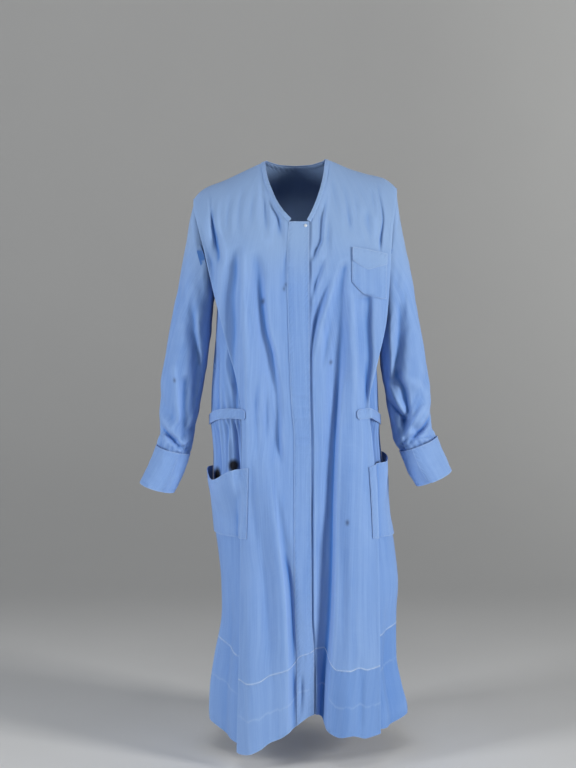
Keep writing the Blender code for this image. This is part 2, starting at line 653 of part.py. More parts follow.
def front_grid(side):
    """Outer face of a front: rows run down from the neck and shoulder to the hem."""
    point_at = right_front if side < 0 else left_front
    columns = front_columns(side)
    heights = [front_rows(column_top(side, x_at), column_foot(x_at)) for x_at in columns]
    grid = []
    for j in range(len(heights[0])):
        line = []
        for x_at, column in zip(columns, heights):
            z = column[j]
            point = point_at(x_at(z), z)
            if side > 0 and len(line) < 4:
                point.y = lapped_y(point, z, len(line))
            line.append(point)
        z = heights[-1][j]
        edge = pleat_x(side, z)
        for inward, depth in ((0.0, PLEAT_ROUND), (PLEAT_TUCK, PLEAT_DEPTH)):
            x = edge - side * inward
            normal = front_normal(point_at, x, z)
            if j == 0:
                normal.y = 0.0
                normal.normalize()
            line.append(point_at(x, z) - normal * depth)
        if j == 0:
            for point in line:
                if abs(point.x) >= NECK_HALF - 0.001 and point.z > -0.09:
                    point.y = -SEAM_GAP * SEAM_BACK
        grid.append(line if side > 0 else line[::-1])
    return grid


def gather(u, waves, deep, spread):
    """Waves that only go inwards from the panel; uneven in height."""
    turn = 2.0 * math.pi * waves * u
    uneven = 0.75 + 0.25 * math.sin(5.0 * u + spread)
    return -deep * uneven * (1.0 - math.cos(turn)) / 2.0


def outwards(point):
    return Vector((point.x, point.y * AWAY, 0.0)).normalized()


def side_bodice_grid(side, cols, heights):
    grid = []
    for share in heights:
        line = []
        for i in range(cols + 1):
            u = i / cols
            top = along(UNDERARM, u)
            guess = side_point(side, u, -0.50)
            foot = waist_z(guess.y) + SEAM_GAP
            z = mix(top, foot, share)
            deep = 0.0016 * ease((share - 0.70) / 0.30)
            middle = side_point(side, u, z)
            wave = gather(u, GATHERS_BODICE, deep, 1.0) * ease(u / 0.15) * ease((1.0 - u) / 0.1)
            line.append(middle + outwards(middle) * wave)
        grid.append(line if side > 0 else line[::-1])
    return grid


def side_skirt_grid(side, cols, heights):
    grid = []
    for share in heights:
        line = []
        for i in range(cols + 1):
            u = i / cols
            guess = side_point(side, u, -0.52)
            top = waist_z(guess.y) - SEAM_GAP
            low = side_point(side, u, -1.12)
            foot = along(HEM_SIDE, low.y, 1 if side < 0 else 2)
            if u < 0.2:
                edge_foot = along(HEM_FRONT, pleat_x(side, -1.13)) + HEM_BELOW
                foot = mix(edge_foot, foot, ease(u / 0.2))
            z = mix(top, foot, share)
            middle = side_point(side, u, z)
            drop = top - z
            deep = 0.0034 * (0.50 + 0.50 * ease(drop / 0.02)) * (1.0 - ease((drop - 0.04) / 0.17))
            wave = gather(u, GATHERS_SKIRT, deep, 2.0)
            soft = sum(depth * math.exp(-((u - place) / wide) ** 2)
                       for place, wide, depth in SIDE_FOLDS)
            wave += soft * ease((drop - 0.26) / 0.30)
            wave *= ease(u / 0.10) * ease((1.0 - u) / 0.08)
            line.append(middle + outwards(middle) * wave)
        grid.append(line if side > 0 else line[::-1])
    return grid


def nudge_columns(grid, gap=SEAM_DRAW):
    """Draws the two side edges of a grid in by a small gap, for a butted seam."""
    for line in grid:
        for a, b in ((0, 1), (-1, -2)):
            step = line[b] - line[a]
            line[a] = line[a] + step.normalized() * gap


def build_fronts(looks):
    right = front_grid(-1)
    normals = grid_normals(right)
    seam = [i for i, p in enumerate(right[0]) if p.x <= -NECK_HALF + 0.001]
    for i in seam:
        n = normals[0][i]
        normals[0][i] = Vector((n.x, 0.0, n.z)).normalized()
    sheet("front_right", right, offset(right, normals, -CLOTH), looks["right"])

    left = front_grid(1)
    left_normals = grid_normals(left)
    for i, p in enumerate(left[0]):
        if p.x >= NECK_HALF - 0.001:
            n = left_normals[0][i]
            left_normals[0][i] = Vector((n.x, 0.0, n.z)).normalized()
    sheet("front_left", left, offset(left, left_normals, -CLOTH), looks["left"])

    strip = [line[-4:] for line in right]
    turned = [line[-4:] for line in normals]
    under = offset(strip, turned, LAID_GAP)
    sheet("fly_placket", offset(strip, turned, LAID_GAP + PLACKET_WALL), under, looks["placket"])
    return right, normals, left, left_normals


def build_back(looks):
    shares = (0.0, 0.012, 0.05, 0.11, 0.20, 0.32, 0.46, 0.62, 0.80, 1.0)

    def top_of(w):
        x = w * BACK_SEAM_HALF
        return shoulder(x) if abs(x) >= NECK_HALF else along(NECK_BACK, abs(x))

    # columns at the top are drawn in to the neck points
    neck = NECK_HALF / BACK_SEAM_HALF
    tops = [-1.0, -0.86, -0.72, -0.58, -0.45, -neck, -0.26, -0.15, 0.0,
            0.15, 0.26, neck, 0.45, 0.58, 0.72, 0.86, 1.0]
    even = [-1.0 + 2.0 * i / (len(tops) - 1) for i in range(len(tops))]
    grid = []
    for share in shares:
        line = []
        for top_w, low_w in zip(tops, even):
            top = top_of(top_w)
            low = back_point(low_w, -0.50)
            z = mix(top, waist_z(low.y) + SEAM_GAP, share)
            w = mix(top_w, low_w, ease(share / 0.75))
            point = back_point(w, z)
            if share == 0.0 and abs(top_w) >= neck - 0.001:
                point = Vector((top_w * BACK_SEAM_HALF, SEAM_GAP * SEAM_BACK, z))
            line.append(point)
        grid.append(line[::-1])
    normals = grid_normals(grid)
    for i, p in enumerate(grid[0]):
        if abs(p.x) >= NECK_HALF - 0.001:
            n = normals[0][i]
            normals[0][i] = Vector((n.x, 0.0, n.z)).normalized()
    flatten(normals, rows=(len(grid) - 1,), axis="z")
    nudge_columns(grid)
    sheet("back_bodice", grid, offset(grid, normals, -CLOTH), looks["back_bodice"])

    count = 20
    skirt = []
    for share in (0.0, 0.05, 0.12, 0.20, 0.30, 0.42, 0.55, 0.70, 0.85, 1.0):
        line = []
        for i in range(count + 1):
            w = -1.0 + 2.0 * i / count
            high = back_point(w, -0.52)
            top = waist_z(high.y) - SEAM_GAP
            low = back_point(w, -1.12)
            foot = mix(along(HEM_SIDE, low.y, 1), along(HEM_SIDE, low.y, 2), (w + 1.0) / 2.0)
            z = mix(top, foot, share)
            point = back_point(w, z)
            soft = sum(depth * math.exp(-((w - place) / wide) ** 2)
                       for place, wide, depth in BACK_FOLDS)
            point.y += soft * ease((share - 0.05) / 0.8) * ease((1.0 - abs(w)) / 0.15)
            line.append(point)
        skirt.append(line[::-1])
    turned = grid_normals(skirt)
    flatten(turned, rows=(0,), axis="z")
    nudge_columns(skirt)
    sheet("back_skirt", skirt, offset(skirt, turned, -CLOTH), looks["back_skirt"])
    return grid


def build_sides(looks):
    for side, word in ((-1, "right"), (1, "left")):
        bodice = side_bodice_grid(side, 20, (0.0, 0.16, 0.34, 0.52, 0.70, 0.82, 0.92, 1.0))
        normals = grid_normals(bodice)
        flatten(normals, rows=(len(bodice) - 1,), axis="z")
        nudge_columns(bodice)
        name = "side_bodice_" + word
        sheet(name, bodice, offset(bodice, normals, -CLOTH), looks[name])
        skirt = side_skirt_grid(side, 4 * GATHERS_SKIRT,
                                (0.0, 0.03, 0.08, 0.15, 0.24, 0.35, 0.48, 0.62, 0.76, 0.89, 1.0))
        turned = grid_normals(skirt)
        flatten(turned, rows=(0,), axis="z")
        nudge_columns(skirt)
        name = "side_skirt_" + word
        sheet(name, skirt, offset(skirt, turned, -CLOTH), looks[name])


def armhole_point(side, angle, rows):
    """Armhole loop; angle 0 is the shoulder tip, 90 the front, 180 the underarm, 270 the back."""
    outer_z, inner_z = rows[0][2], rows[0][4]
    share = (1.0 - math.cos(math.radians(angle))) / 2.0
    z = mix(outer_z, inner_z, share)
    if angle <= 180.0:
        return Vector((side * along(ARMHOLE_FRONT, share, 1), along(ARMHOLE_FRONT, share, 2), z))
    edge = back_point(side, max(z, -0.2615))
    low = Vector((side * rows[0][3], 0.004, inner_z))
    high = Vector((side * rows[0][1], 0.0, outer_z))
    point = Vector((edge.x + side * 0.0015, edge.y, z))
    if share > 0.80:
        point = point.lerp(low, ease((share - 0.80) / 0.20))
        point.x = side * max(side * point.x, 0.1475 + 0.0125 * ease((share - 0.80) / 0.20))
    if share < 0.10:
        point = point.lerp(high, ease((0.10 - share) / 0.10))
    return point


def sleeve_point(side, rows, creases, place, angle):
    """Sleeve; place 0 is the armhole, 13 the cuff; angle 0 is outward, 90 the front."""
    turn = math.radians(angle)
    outer = Vector((side * along(rows, place, 1), 0.0, along(rows, place, 2)))
    inner = Vector((side * along(rows, place, 3), 0.0, along(rows, place, 4)))
    middle = (outer + inner) / 2.0 + Vector((0.0, along(rows, place, 5), 0.0))
    long = (outer - inner) / 2.0
    deep = Vector((0.0, -along(rows, place, 6), 0.0))
    push = 1.0
    size = long.length
    drawn = 0.0
    for spot, centre, slope, wide, span, depth in creases:
        away = (angle - centre + 180.0) % 360.0 - 180.0
        line = spot + slope * away
        drawn += depth * math.exp(-((place - line) / wide) ** 2 - (away / span) ** 2)
    wave = math.cos(math.radians(angle) * GATHERS_SLEEVE)
    drawn += 0.0024 * wave * ease((place - 10.2) / 1.6) * (1.0 - 0.75 * ease((place - 12.0) / 1.0))
    push += drawn / size
    point = middle + (long * math.cos(turn) + deep * math.sin(turn)) * push
    if place < 1.0:
        point = armhole_point(side, angle % 360.0, rows).lerp(point, ease(place))
    elif place < 4.0:
        inset = 0.012 * (1.0 - ease((place - 1.0) / 3.0)) * math.sin(turn) ** 2
        point.x -= side * inset
    return point


SLEEVE_PLACES = (0.0, 0.35, 1.0, 2.0, 3.0, 4.0, 5.0, 6.0, 7.0, 8.0, 9.0, 9.8, 10.5, 11.2, 11.9, 12.5,
                 13.0)
SLEEVE_ROUND = 24


def tube_grid(side, places, count, point_at):
    """Rows along a tube and columns round it, wound the same way on both sides."""
    grid = []
    for place in places:
        line = [point_at(place, 360.0 * i / count) for i in range(count)]
        grid.append(line[::-1] if side > 0 else line)
    return grid


def build_sleeves(looks):
    for side, word, rows, creases in ((-1, "right", SLEEVE_RIGHT, SLEEVE_CREASES_RIGHT),
                                      (1, "left", SLEEVE_LEFT, SLEEVE_CREASES_LEFT)):
        grid = tube_grid(side, SLEEVE_PLACES, SLEEVE_ROUND,
                         lambda place, angle: sleeve_point(side, rows, creases, place, angle))
        normals = grid_normals(grid, closed=True)
        flatten(normals, rows=(0,), axis="x")
        name = "sleeve_" + word
        sheet(name, grid, offset(grid, normals, -CLOTH), looks[name], closed=True)


CUFF_FIRST = 112.0        # angle of the visible end of each cuff
CUFF_TURN = 398.0         # degrees the cuff strip runs round
CUFF_LIFT = 0.0026        # how far the lapped end stands out from the turn below


def cuff_point(side, rows, place, angle, lift):
    turn = math.radians(angle)
    outer = Vector((side * along(rows, place, 1), 0.0, along(rows, place, 2)))
    inner = Vector((side * along(rows, place, 3), 0.0, along(rows, place, 4)))
    middle = (outer + inner) / 2.0 + Vector((0.0, along(rows, place, 5), 0.0))
    long = (outer - inner) / 2.0
    deep = Vector((0.0, -along(rows, place, 6), 0.0))
    spoke = long * math.cos(turn) + deep * math.sin(turn)
    return middle + spoke + spoke.normalized() * lift


def build_cuffs(looks):
    count = 26
    for side, word, rows in ((-1, "right", CUFF_RIGHT), (1, "left", CUFF_LEFT)):
        grid = []
        for place in (0.0, 1.0, 2.0, 3.0):
            line = []
            for i in range(count + 1):
                round_by = CUFF_TURN * i / count
                lift = CUFF_LIFT * ease((round_by - 300.0) / 55.0)
                at = place
                if place == 3.0:
                    at = 3.0 - 0.55 * ease((round_by - 384.0) / 14.0)
                line.append(cuff_point(side, rows, at, CUFF_FIRST - CUFF_TURN + round_by, lift))
            grid.append(line if side < 0 else line[::-1])
        normals = grid_normals(grid)
        sheet("cuff_" + word, grid, offset(grid, normals, -DOUBLE), looks["cuff_" + word])


def belt_path(z_shift, out):
    """Plan of the half belt from its right tab round the back to its left tab."""
    points = []

    def on_front(side, inward):
        point_at = right_front if side < 0 else left_front
        z = WAIST_FRONT + z_shift
        x = pleat_x(side, z) - side * inward
        normal = front_normal(point_at, x, z)
        return point_at(x, z) + normal * out

    def on_side(side, x_out):
        z = WAIST_FRONT
        for _ in range(4):
            x = pleat_x(side, z) + side * x_out
            point = body_ring(ring_angle(x, z, True), z, out)
            z = waist_z(point.y) + z_shift
        return Vector((point.x, point.y, z))

    for inward in (TAB_RIGHT, TAB_RIGHT * 0.5, 0.0):
        points.append(on_front(-1, inward))
    first = points[-1] + Vector((-0.0022, 0.0020, 0.0))
    points.append(first)
    start, stop = on_side(-1, 0.016), on_side(1, 0.013)
    a = ring_angle(start.x, start.z, True)
    b = ring_angle(stop.x, stop.z, True) + 360.0
    for i in range(41):
        angle = mix(a, b, i / 40)
        z = WAIST_SIDE
        for _ in range(3):
            point = body_ring(angle, z, out)
            z = waist_z(point.y) + z_shift
        points.append(Vector((point.x, point.y, z)))
    left_edge = on_front(1, 0.0)
    points.append(left_edge + Vector((0.0022, 0.0020, 0.0)))
    for inward in (0.0, TAB_LEFT * 0.35, TAB_LEFT * 0.7, TAB_LEFT):
        points.append(on_front(1, inward))
    return points


def build_belt(looks):
    far = CURVED_GAP + DOUBLE
    shifts = (BELT_HIGH / 2.0, 0.0, -BELT_HIGH / 2.0)
    outer = [belt_path(shift, far)[::-1] for shift in shifts]
    inner = [belt_path(shift, CURVED_GAP)[::-1] for shift in shifts]
    for grid in (outer, inner):
        for end, beside in ((0, 1), (-1, -2)):
            for j in (0, 2):
                grid[j][end] = grid[j][end].lerp(grid[j][beside], 0.45)
    sheet("half_belt", outer, inner, looks["belt"])
    tab = outer[1]
    return tab[0], tab[1]


def disc(name, centre, normal, radius, thick, look):
    """Round button standing on a point, its face turned along the normal."""
    across = normal.cross(Vector((0.0, 0.0, 1.0))).normalized()
    up = across.cross(normal).normalized()
    count = 20
    rings = ((0.0, radius * 0.94), (0.3, radius), (0.75, radius), (1.0, radius * 0.86))
    verts, faces = [], []
    for height, wide in rings:
        for i in range(count):
            turn = 2.0 * math.pi * i / count
            verts.append(centre + normal * height * thick
                         + (across * math.cos(turn) + up * math.sin(turn)) * wide)
    for k in range(len(rings) - 1):
        for i in range(count):
            j = (i + 1) % count
            faces.append((k * count + i, (k + 1) * count + i, (k + 1) * count + j, k * count + j))
    faces.append(tuple(range(count)))
    faces.append(tuple(range(len(verts) - count, len(verts)))[::-1])
    return add_object(name, verts, faces, look)


def hip_pocket_grid(side, shape):
    """Pocket that laps from the front panel round its edge on to the side skirt."""
    point_at = right_front if side < 0 else left_front
    grid = []
    places = (0.16, 0.24, 0.32, 0.40, 0.47, 0.54, 0.60, 0.66)
    rows = (0.0, 0.10, 0.24, 0.40, 0.58, 0.78, 1.0)
    for share in rows:
        line = []
        steps = len(places) + 3
        for k in range(steps):
            u = k / (steps - 1)
            dip = shape["dip"] * math.sin(math.pi * u) ** 2
            mouth = mix(shape["mouth_front"], shape["mouth_back"], u) - dip
            foot = mix(shape["foot_front"], shape["foot_back"], u)
            z = mix(mouth, foot, share)
            edge = pleat_x(side, z)
            if k < 3:
                x = edge - side * HIP_LAP * (1.0 - k / 2.0)
                normal = front_normal(point_at, x, z)
                point = point_at(x, z) + normal * (LAID_GAP + CLOTH)
            else:
                base = side_point(side, places[k - 3], z)
                bulge = shape["open"] * math.sin(math.pi * u) * (1.0 - ease(share / 0.85))
                point = base + outwards(base) * (CURVED_GAP + CLOTH + bulge)
            line.append(point)
        grid.append(line if side > 0 else line[::-1])
    return grid


def patch_grid(table, out, rows):
    """Patch on the left front from a table of x, top and bottom."""
    grid = []
    for share in rows:
        line = []
        for x, top, bottom in table:
            z = mix(top, bottom, share)
            line.append(left_front(x, z) + front_normal(left_front, x, z) * out)
        grid.append(line)
    return grid


def build_pockets(looks):
    for side, word, shape in ((-1, "right", HIP_RIGHT), (1, "left", HIP_LEFT)):
        grid = hip_pocket_grid(side, shape)
        normals = grid_normals(grid)
        sheet("hip_pocket_" + word, grid, offset(grid, normals, -CLOTH), looks["hip_pocket_" + word])
    lay = LAID_GAP
    rows = (0.0, 0.2, 0.4, 0.6, 0.8, 1.0)
    sheet("breast_pocket", patch_grid(BREAST, lay + CLOTH, rows), patch_grid(BREAST, lay, rows),
          looks["breast_pocket"])
    above = 2.0 * LAID_GAP + CLOTH
    rows = (0.0, 0.5, 1.0)
    sheet("breast_flap", patch_grid(FLAP, above + CLOTH, rows), patch_grid(FLAP, above, rows),
          looks["breast_flap"])


def build_binding(looks, right, right_normals, left, left_normals, back):
    """Narrow binding that follows the neckline from one foot of the V round to the other."""
    line, away, out = [], [], []

    def take(points, normals):
        for point, normal in zip(points, normals):
            line.append(point.copy())
            out.append(normal.copy())

    cut = [i for i, p in enumerate(right[0]) if -NECK_HALF - 0.0005 <= p.x < -0.0105]
    order = sorted(cut, key=lambda i: -right[0][i].x)
    take([right[0][i] for i in order], [right_normals[1][i] for i in order])
    back_normals = grid_normals(back)
    middle = [i for i, p in enumerate(back[0]) if abs(p.x) < NECK_HALF - 0.002]
    order = sorted(middle, key=lambda i: back[0][i].x)
    take([back[0][i] for i in order], [back_normals[1][i] for i in order])
    cut = [i for i, p in enumerate(left[0]) if 0.0275 < p.x <= NECK_HALF + 0.0005]
    order = sorted(cut, key=lambda i: -left[0][i].x)
    take([left[0][i] for i in order], [left_normals[1][i] for i in order])
    count = len(line)
    for end, beside in ((0, 1), (-1, -2)):
        line[end] = line[end].lerp(line[beside], 0.30)
    for i in range(count):
        along_line = (line[min(i + 1, count - 1)] - line[max(i - 1, 0)]).normalized()
        away.append(along_line.cross(out[i]).normalized())
    outer, inner = [[], []], [[], []]
    for point, normal, aside in zip(line, out, away):
        for k, wide in ((0, 0.0), (1, BINDING_WIDE)):
            base = point + aside * wide
            lift = LAID_GAP + mix(*BINDING_RISE, ease((point.z + 0.060) / 0.035))
            inner[k].append(base + normal * lift)
            outer[k].append(base + normal * (lift + CLOTH))
    return outer, inner


def main():
    for item in list(bpy.data.objects):
        bpy.data.objects.remove(item, do_unlink=True)
    blue = (0.19, 0.34, 0.66)
    names = ("right", "left", "placket", "back_bodice", "back_skirt",
             "side_bodice_right", "side_bodice_left", "side_skirt_right", "side_skirt_left",
             "sleeve_right", "sleeve_left", "cuff_right", "cuff_left", "belt",
             "hip_pocket_right", "hip_pocket_left", "breast_pocket", "breast_flap", "binding")
    looks = {}
    for k, name in enumerate(names):
        tint = 1.0 + 0.02 * ((k * 7) % 5 - 2)
        looks[name] = material("cotton_" + name, tuple(c * tint for c in blue), 0.86, 0.25)
    looks["button"] = material("button_blue", (0.10, 0.18, 0.34), 0.45)
    looks["stud"] = material("stud_pale", (0.55, 0.60, 0.66), 0.35)

    right, right_normals, left, left_normals = build_fronts(looks)
    back = build_back(looks)
    build_sides(looks)
    build_sleeves(looks)
    build_cuffs(looks)
    end, beside = build_belt(looks)
    build_pockets(looks)

    outer, inner = build_binding(looks, right, right_normals, left, left_normals, back)
    sheet("neck_binding", outer, inner, looks["binding"])

    tab_normal = front_normal(left_front, end.x, end.z)
    spot = end.lerp(beside, BUTTON_AT) + tab_normal * BUTTON_LIFT
    disc("belt_button", spot, tab_normal, BUTTON_RADIUS, BUTTON_THICK, looks["button"])
    stud_normal = front_normal(right_front, *STUD_AT)
    spot = right_front(*STUD_AT) + stud_normal * (LAID_GAP + PLACKET_WALL + STUD_LIFT)
    disc("neck_stud", spot, stud_normal, STUD_RADIUS, STUD_THICK, looks["stud"])


main()
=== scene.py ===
import math
from bisect import bisect_right
from functools import lru_cache

import bmesh
import bpy
from mathutils import Matrix, Vector, noise
from mathutils.bvhtree import BVHTree


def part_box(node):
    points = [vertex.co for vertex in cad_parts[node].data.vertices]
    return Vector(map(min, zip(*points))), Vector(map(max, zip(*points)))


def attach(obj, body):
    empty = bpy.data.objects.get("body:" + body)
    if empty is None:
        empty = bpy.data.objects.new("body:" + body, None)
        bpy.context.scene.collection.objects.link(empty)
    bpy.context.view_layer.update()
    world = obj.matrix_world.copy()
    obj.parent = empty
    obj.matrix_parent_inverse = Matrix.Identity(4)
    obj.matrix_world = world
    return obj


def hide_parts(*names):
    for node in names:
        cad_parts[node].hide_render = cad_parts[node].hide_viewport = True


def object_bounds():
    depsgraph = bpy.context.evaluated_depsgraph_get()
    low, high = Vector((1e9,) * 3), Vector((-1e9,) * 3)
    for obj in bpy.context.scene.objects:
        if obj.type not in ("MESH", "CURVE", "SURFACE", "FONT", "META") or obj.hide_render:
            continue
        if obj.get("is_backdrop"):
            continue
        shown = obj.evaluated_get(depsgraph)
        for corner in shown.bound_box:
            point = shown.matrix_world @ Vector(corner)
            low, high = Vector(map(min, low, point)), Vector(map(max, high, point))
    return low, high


# A long blue cotton uniform dress, in metres. The front faces -Y, the wearer's right side is at -X,
# and the origin is the middle of the neck opening at the height of the neck points.

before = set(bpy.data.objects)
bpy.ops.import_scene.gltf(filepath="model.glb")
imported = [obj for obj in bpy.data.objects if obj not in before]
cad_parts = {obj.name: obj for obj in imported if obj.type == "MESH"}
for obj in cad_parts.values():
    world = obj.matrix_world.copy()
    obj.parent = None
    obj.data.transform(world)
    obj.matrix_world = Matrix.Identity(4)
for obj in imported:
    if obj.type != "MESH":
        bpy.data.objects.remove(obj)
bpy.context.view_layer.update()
print("frame loaded")


def clamp(value, low, high):
    return max(low, min(high, value))


def ease(t):
    t = clamp(t, 0.0, 1.0)
    return t * t * (3.0 - 2.0 * t)


def mix(a, b, t):
    return a + (b - a) * t


def hump(value, middle, wide):
    return math.exp(-((value - middle) / wide) ** 2)


class Table:
    # rows of numbers that are read smoothly by their first column, with no overshoot between them
    def __init__(self, *rows):
        self.rows = sorted(rows)
        self.keys = [row[0] for row in self.rows]
        self.columns = list(zip(*self.rows))
        self.slopes = [self.slopesOf(column) for column in self.columns]

    def slopesOf(self, column):
        if len(column) < 2:
            return [0.0]
        rises = [(b - a) / (kb - ka)
                 for a, b, ka, kb in zip(column, column[1:], self.keys, self.keys[1:])]
        inner = [0.0 if a * b <= 0.0 else 2.0 * a * b / (a + b) for a, b in zip(rises, rises[1:])]
        return [rises[0]] + inner + [rises[-1]]

    def at(self, key, column=1):
        keys, values, slopes = self.keys, self.columns[column], self.slopes[column]
        if key <= keys[0]:
            return values[0]
        if key >= keys[-1]:
            return values[-1]
        i = bisect_right(keys, key) - 1
        span = keys[i + 1] - keys[i]
        t = (key - keys[i]) / span
        t2, t3 = t * t, t * t * t
        return ((2 * t3 - 3 * t2 + 1) * values[i] + (t3 - 2 * t2 + t) * slopes[i] * span
                + (3 * t2 - 2 * t3) * values[i + 1] + (t3 - t2) * slopes[i + 1] * span)


def along(rows, key, column=1):
    return rows.at(key, column)


# Shader maths: a Wire is one output of a node, and sums on it add the nodes.
class Wire:
    def __init__(self, shader, socket):
        self.shader, self.socket = shader, socket

    def __add__(self, other):
        return self.shader.sum("ADD", self, other)

    def __radd__(self, other):
        return self.shader.sum("ADD", other, self)

    def __sub__(self, other):
        return self.shader.sum("SUBTRACT", self, other)

    def __rsub__(self, other):
        return self.shader.sum("SUBTRACT", other, self)

    def __mul__(self, other):
        return self.shader.sum("MULTIPLY", self, other)

    def __rmul__(self, other):
        return self.shader.sum("MULTIPLY", other, self)

    def __truediv__(self, other):
        return self.shader.sum("DIVIDE", self, other)

    def __pow__(self, other):
        return self.shader.sum("POWER", self, other)

    def wave(self):
        return self.shader.sum("SINE", self)

    def bell(self, wide):
        # 1 where the value is nought, fading to nothing over the width
        return self.shader.sum("EXPONENT", (self / wide) * (self / wide) * -1.0)

    def between(self, low, high):
        return self.shader.node("ShaderNodeMapRange", {"interpolation_type": "SMOOTHSTEP"},
                                {0: self, 1: low, 2: high, 3: 0.0, 4: 1.0})


class Shader:
    def __init__(self, name):
        self.material = bpy.data.materials.new(name)
        self.material.use_nodes = True
        self.tree = self.material.node_tree
        self.surface = self.tree.nodes["Principled BSDF"]

    def feed(self, socket, value):
        if isinstance(value, Wire):
            self.tree.links.new(value.socket, socket)
        else:
            socket.default_value = value

    def node(self, kind, settings=None, inputs=None, output=0):
        made = self.tree.nodes.new(kind)
        for key, value in (settings or {}).items():
            setattr(made, key, value)
        for key, value in (inputs or {}).items():
            self.feed(made.inputs[key], value)
        return Wire(self, made.outputs[output])

    def sum(self, operation, *values):
        return self.node("ShaderNodeMath", {"operation": operation}, dict(enumerate(values)))

    def split(self, vector):
        return [self.node("ShaderNodeSeparateXYZ", None, {0: vector}, k) for k in range(3)]

    def join(self, x, y, z):
        return self.node("ShaderNodeCombineXYZ", None, {0: x, 1: y, 2: z})

    def clouds(self, vector, detail=2.0, rough=0.5):
        return self.node("ShaderNodeTexNoise", None,
                         {"Vector": vector, "Scale": 1.0, "Detail": detail, "Roughness": rough})

    def colour(self, share, a, b, way="MIX"):
        return self.node("ShaderNodeMix", {"data_type": "RGBA", "blend_type": way}, {0: share, 6: a, 7: b}, 2)

    def finish(self, **sockets):
        for name, value in sockets.items():
            self.feed(self.surface.inputs[name.replace("_", " ")], value)
        return self.material


def tone(red, green, blue):
    # an everyday 0 to 255 colour as the light it stands for
    return tuple((c / 255.0) ** 2.2 for c in (red, green, blue)) + (1.0,)


# Among these colours the saturated dark blue is painted shade for hollows, side panels and a hem band, the near-black
# one is painted shade behind the pocket mouths, and pale also serves as painted highlight on ridges.
cottonLook = {
    "body": tone(112, 147, 204), "deep": tone(99, 137, 198), "pale": tone(139, 171, 220),
    "shoulder": tone(132, 160, 198), "faded": tone(130, 160, 203), "worn": tone(182, 202, 228),
    "stain": tone(52, 66, 98), "kept": tone(60, 114, 188), "inside": tone(9, 14, 28), "threadPitch": 0.00062, "roughness": 0.88,
}
# small marks on the cloth: x, y, z, radius, strength
marks = ((-0.0632, -0.108, -0.2705, 0.0036, 0.75), (-0.0220, -0.120, -0.2456, 0.0032, 0.85),
         (-0.0190, -0.120, -0.2380, 0.0028, 0.55), (0.0700, -0.110, -0.3910, 0.0028, 0.60),
         (0.1026, -0.120, -0.7040, 0.0032, 0.70), (-0.2400, -0.045, -0.4320, 0.0030, 0.60))


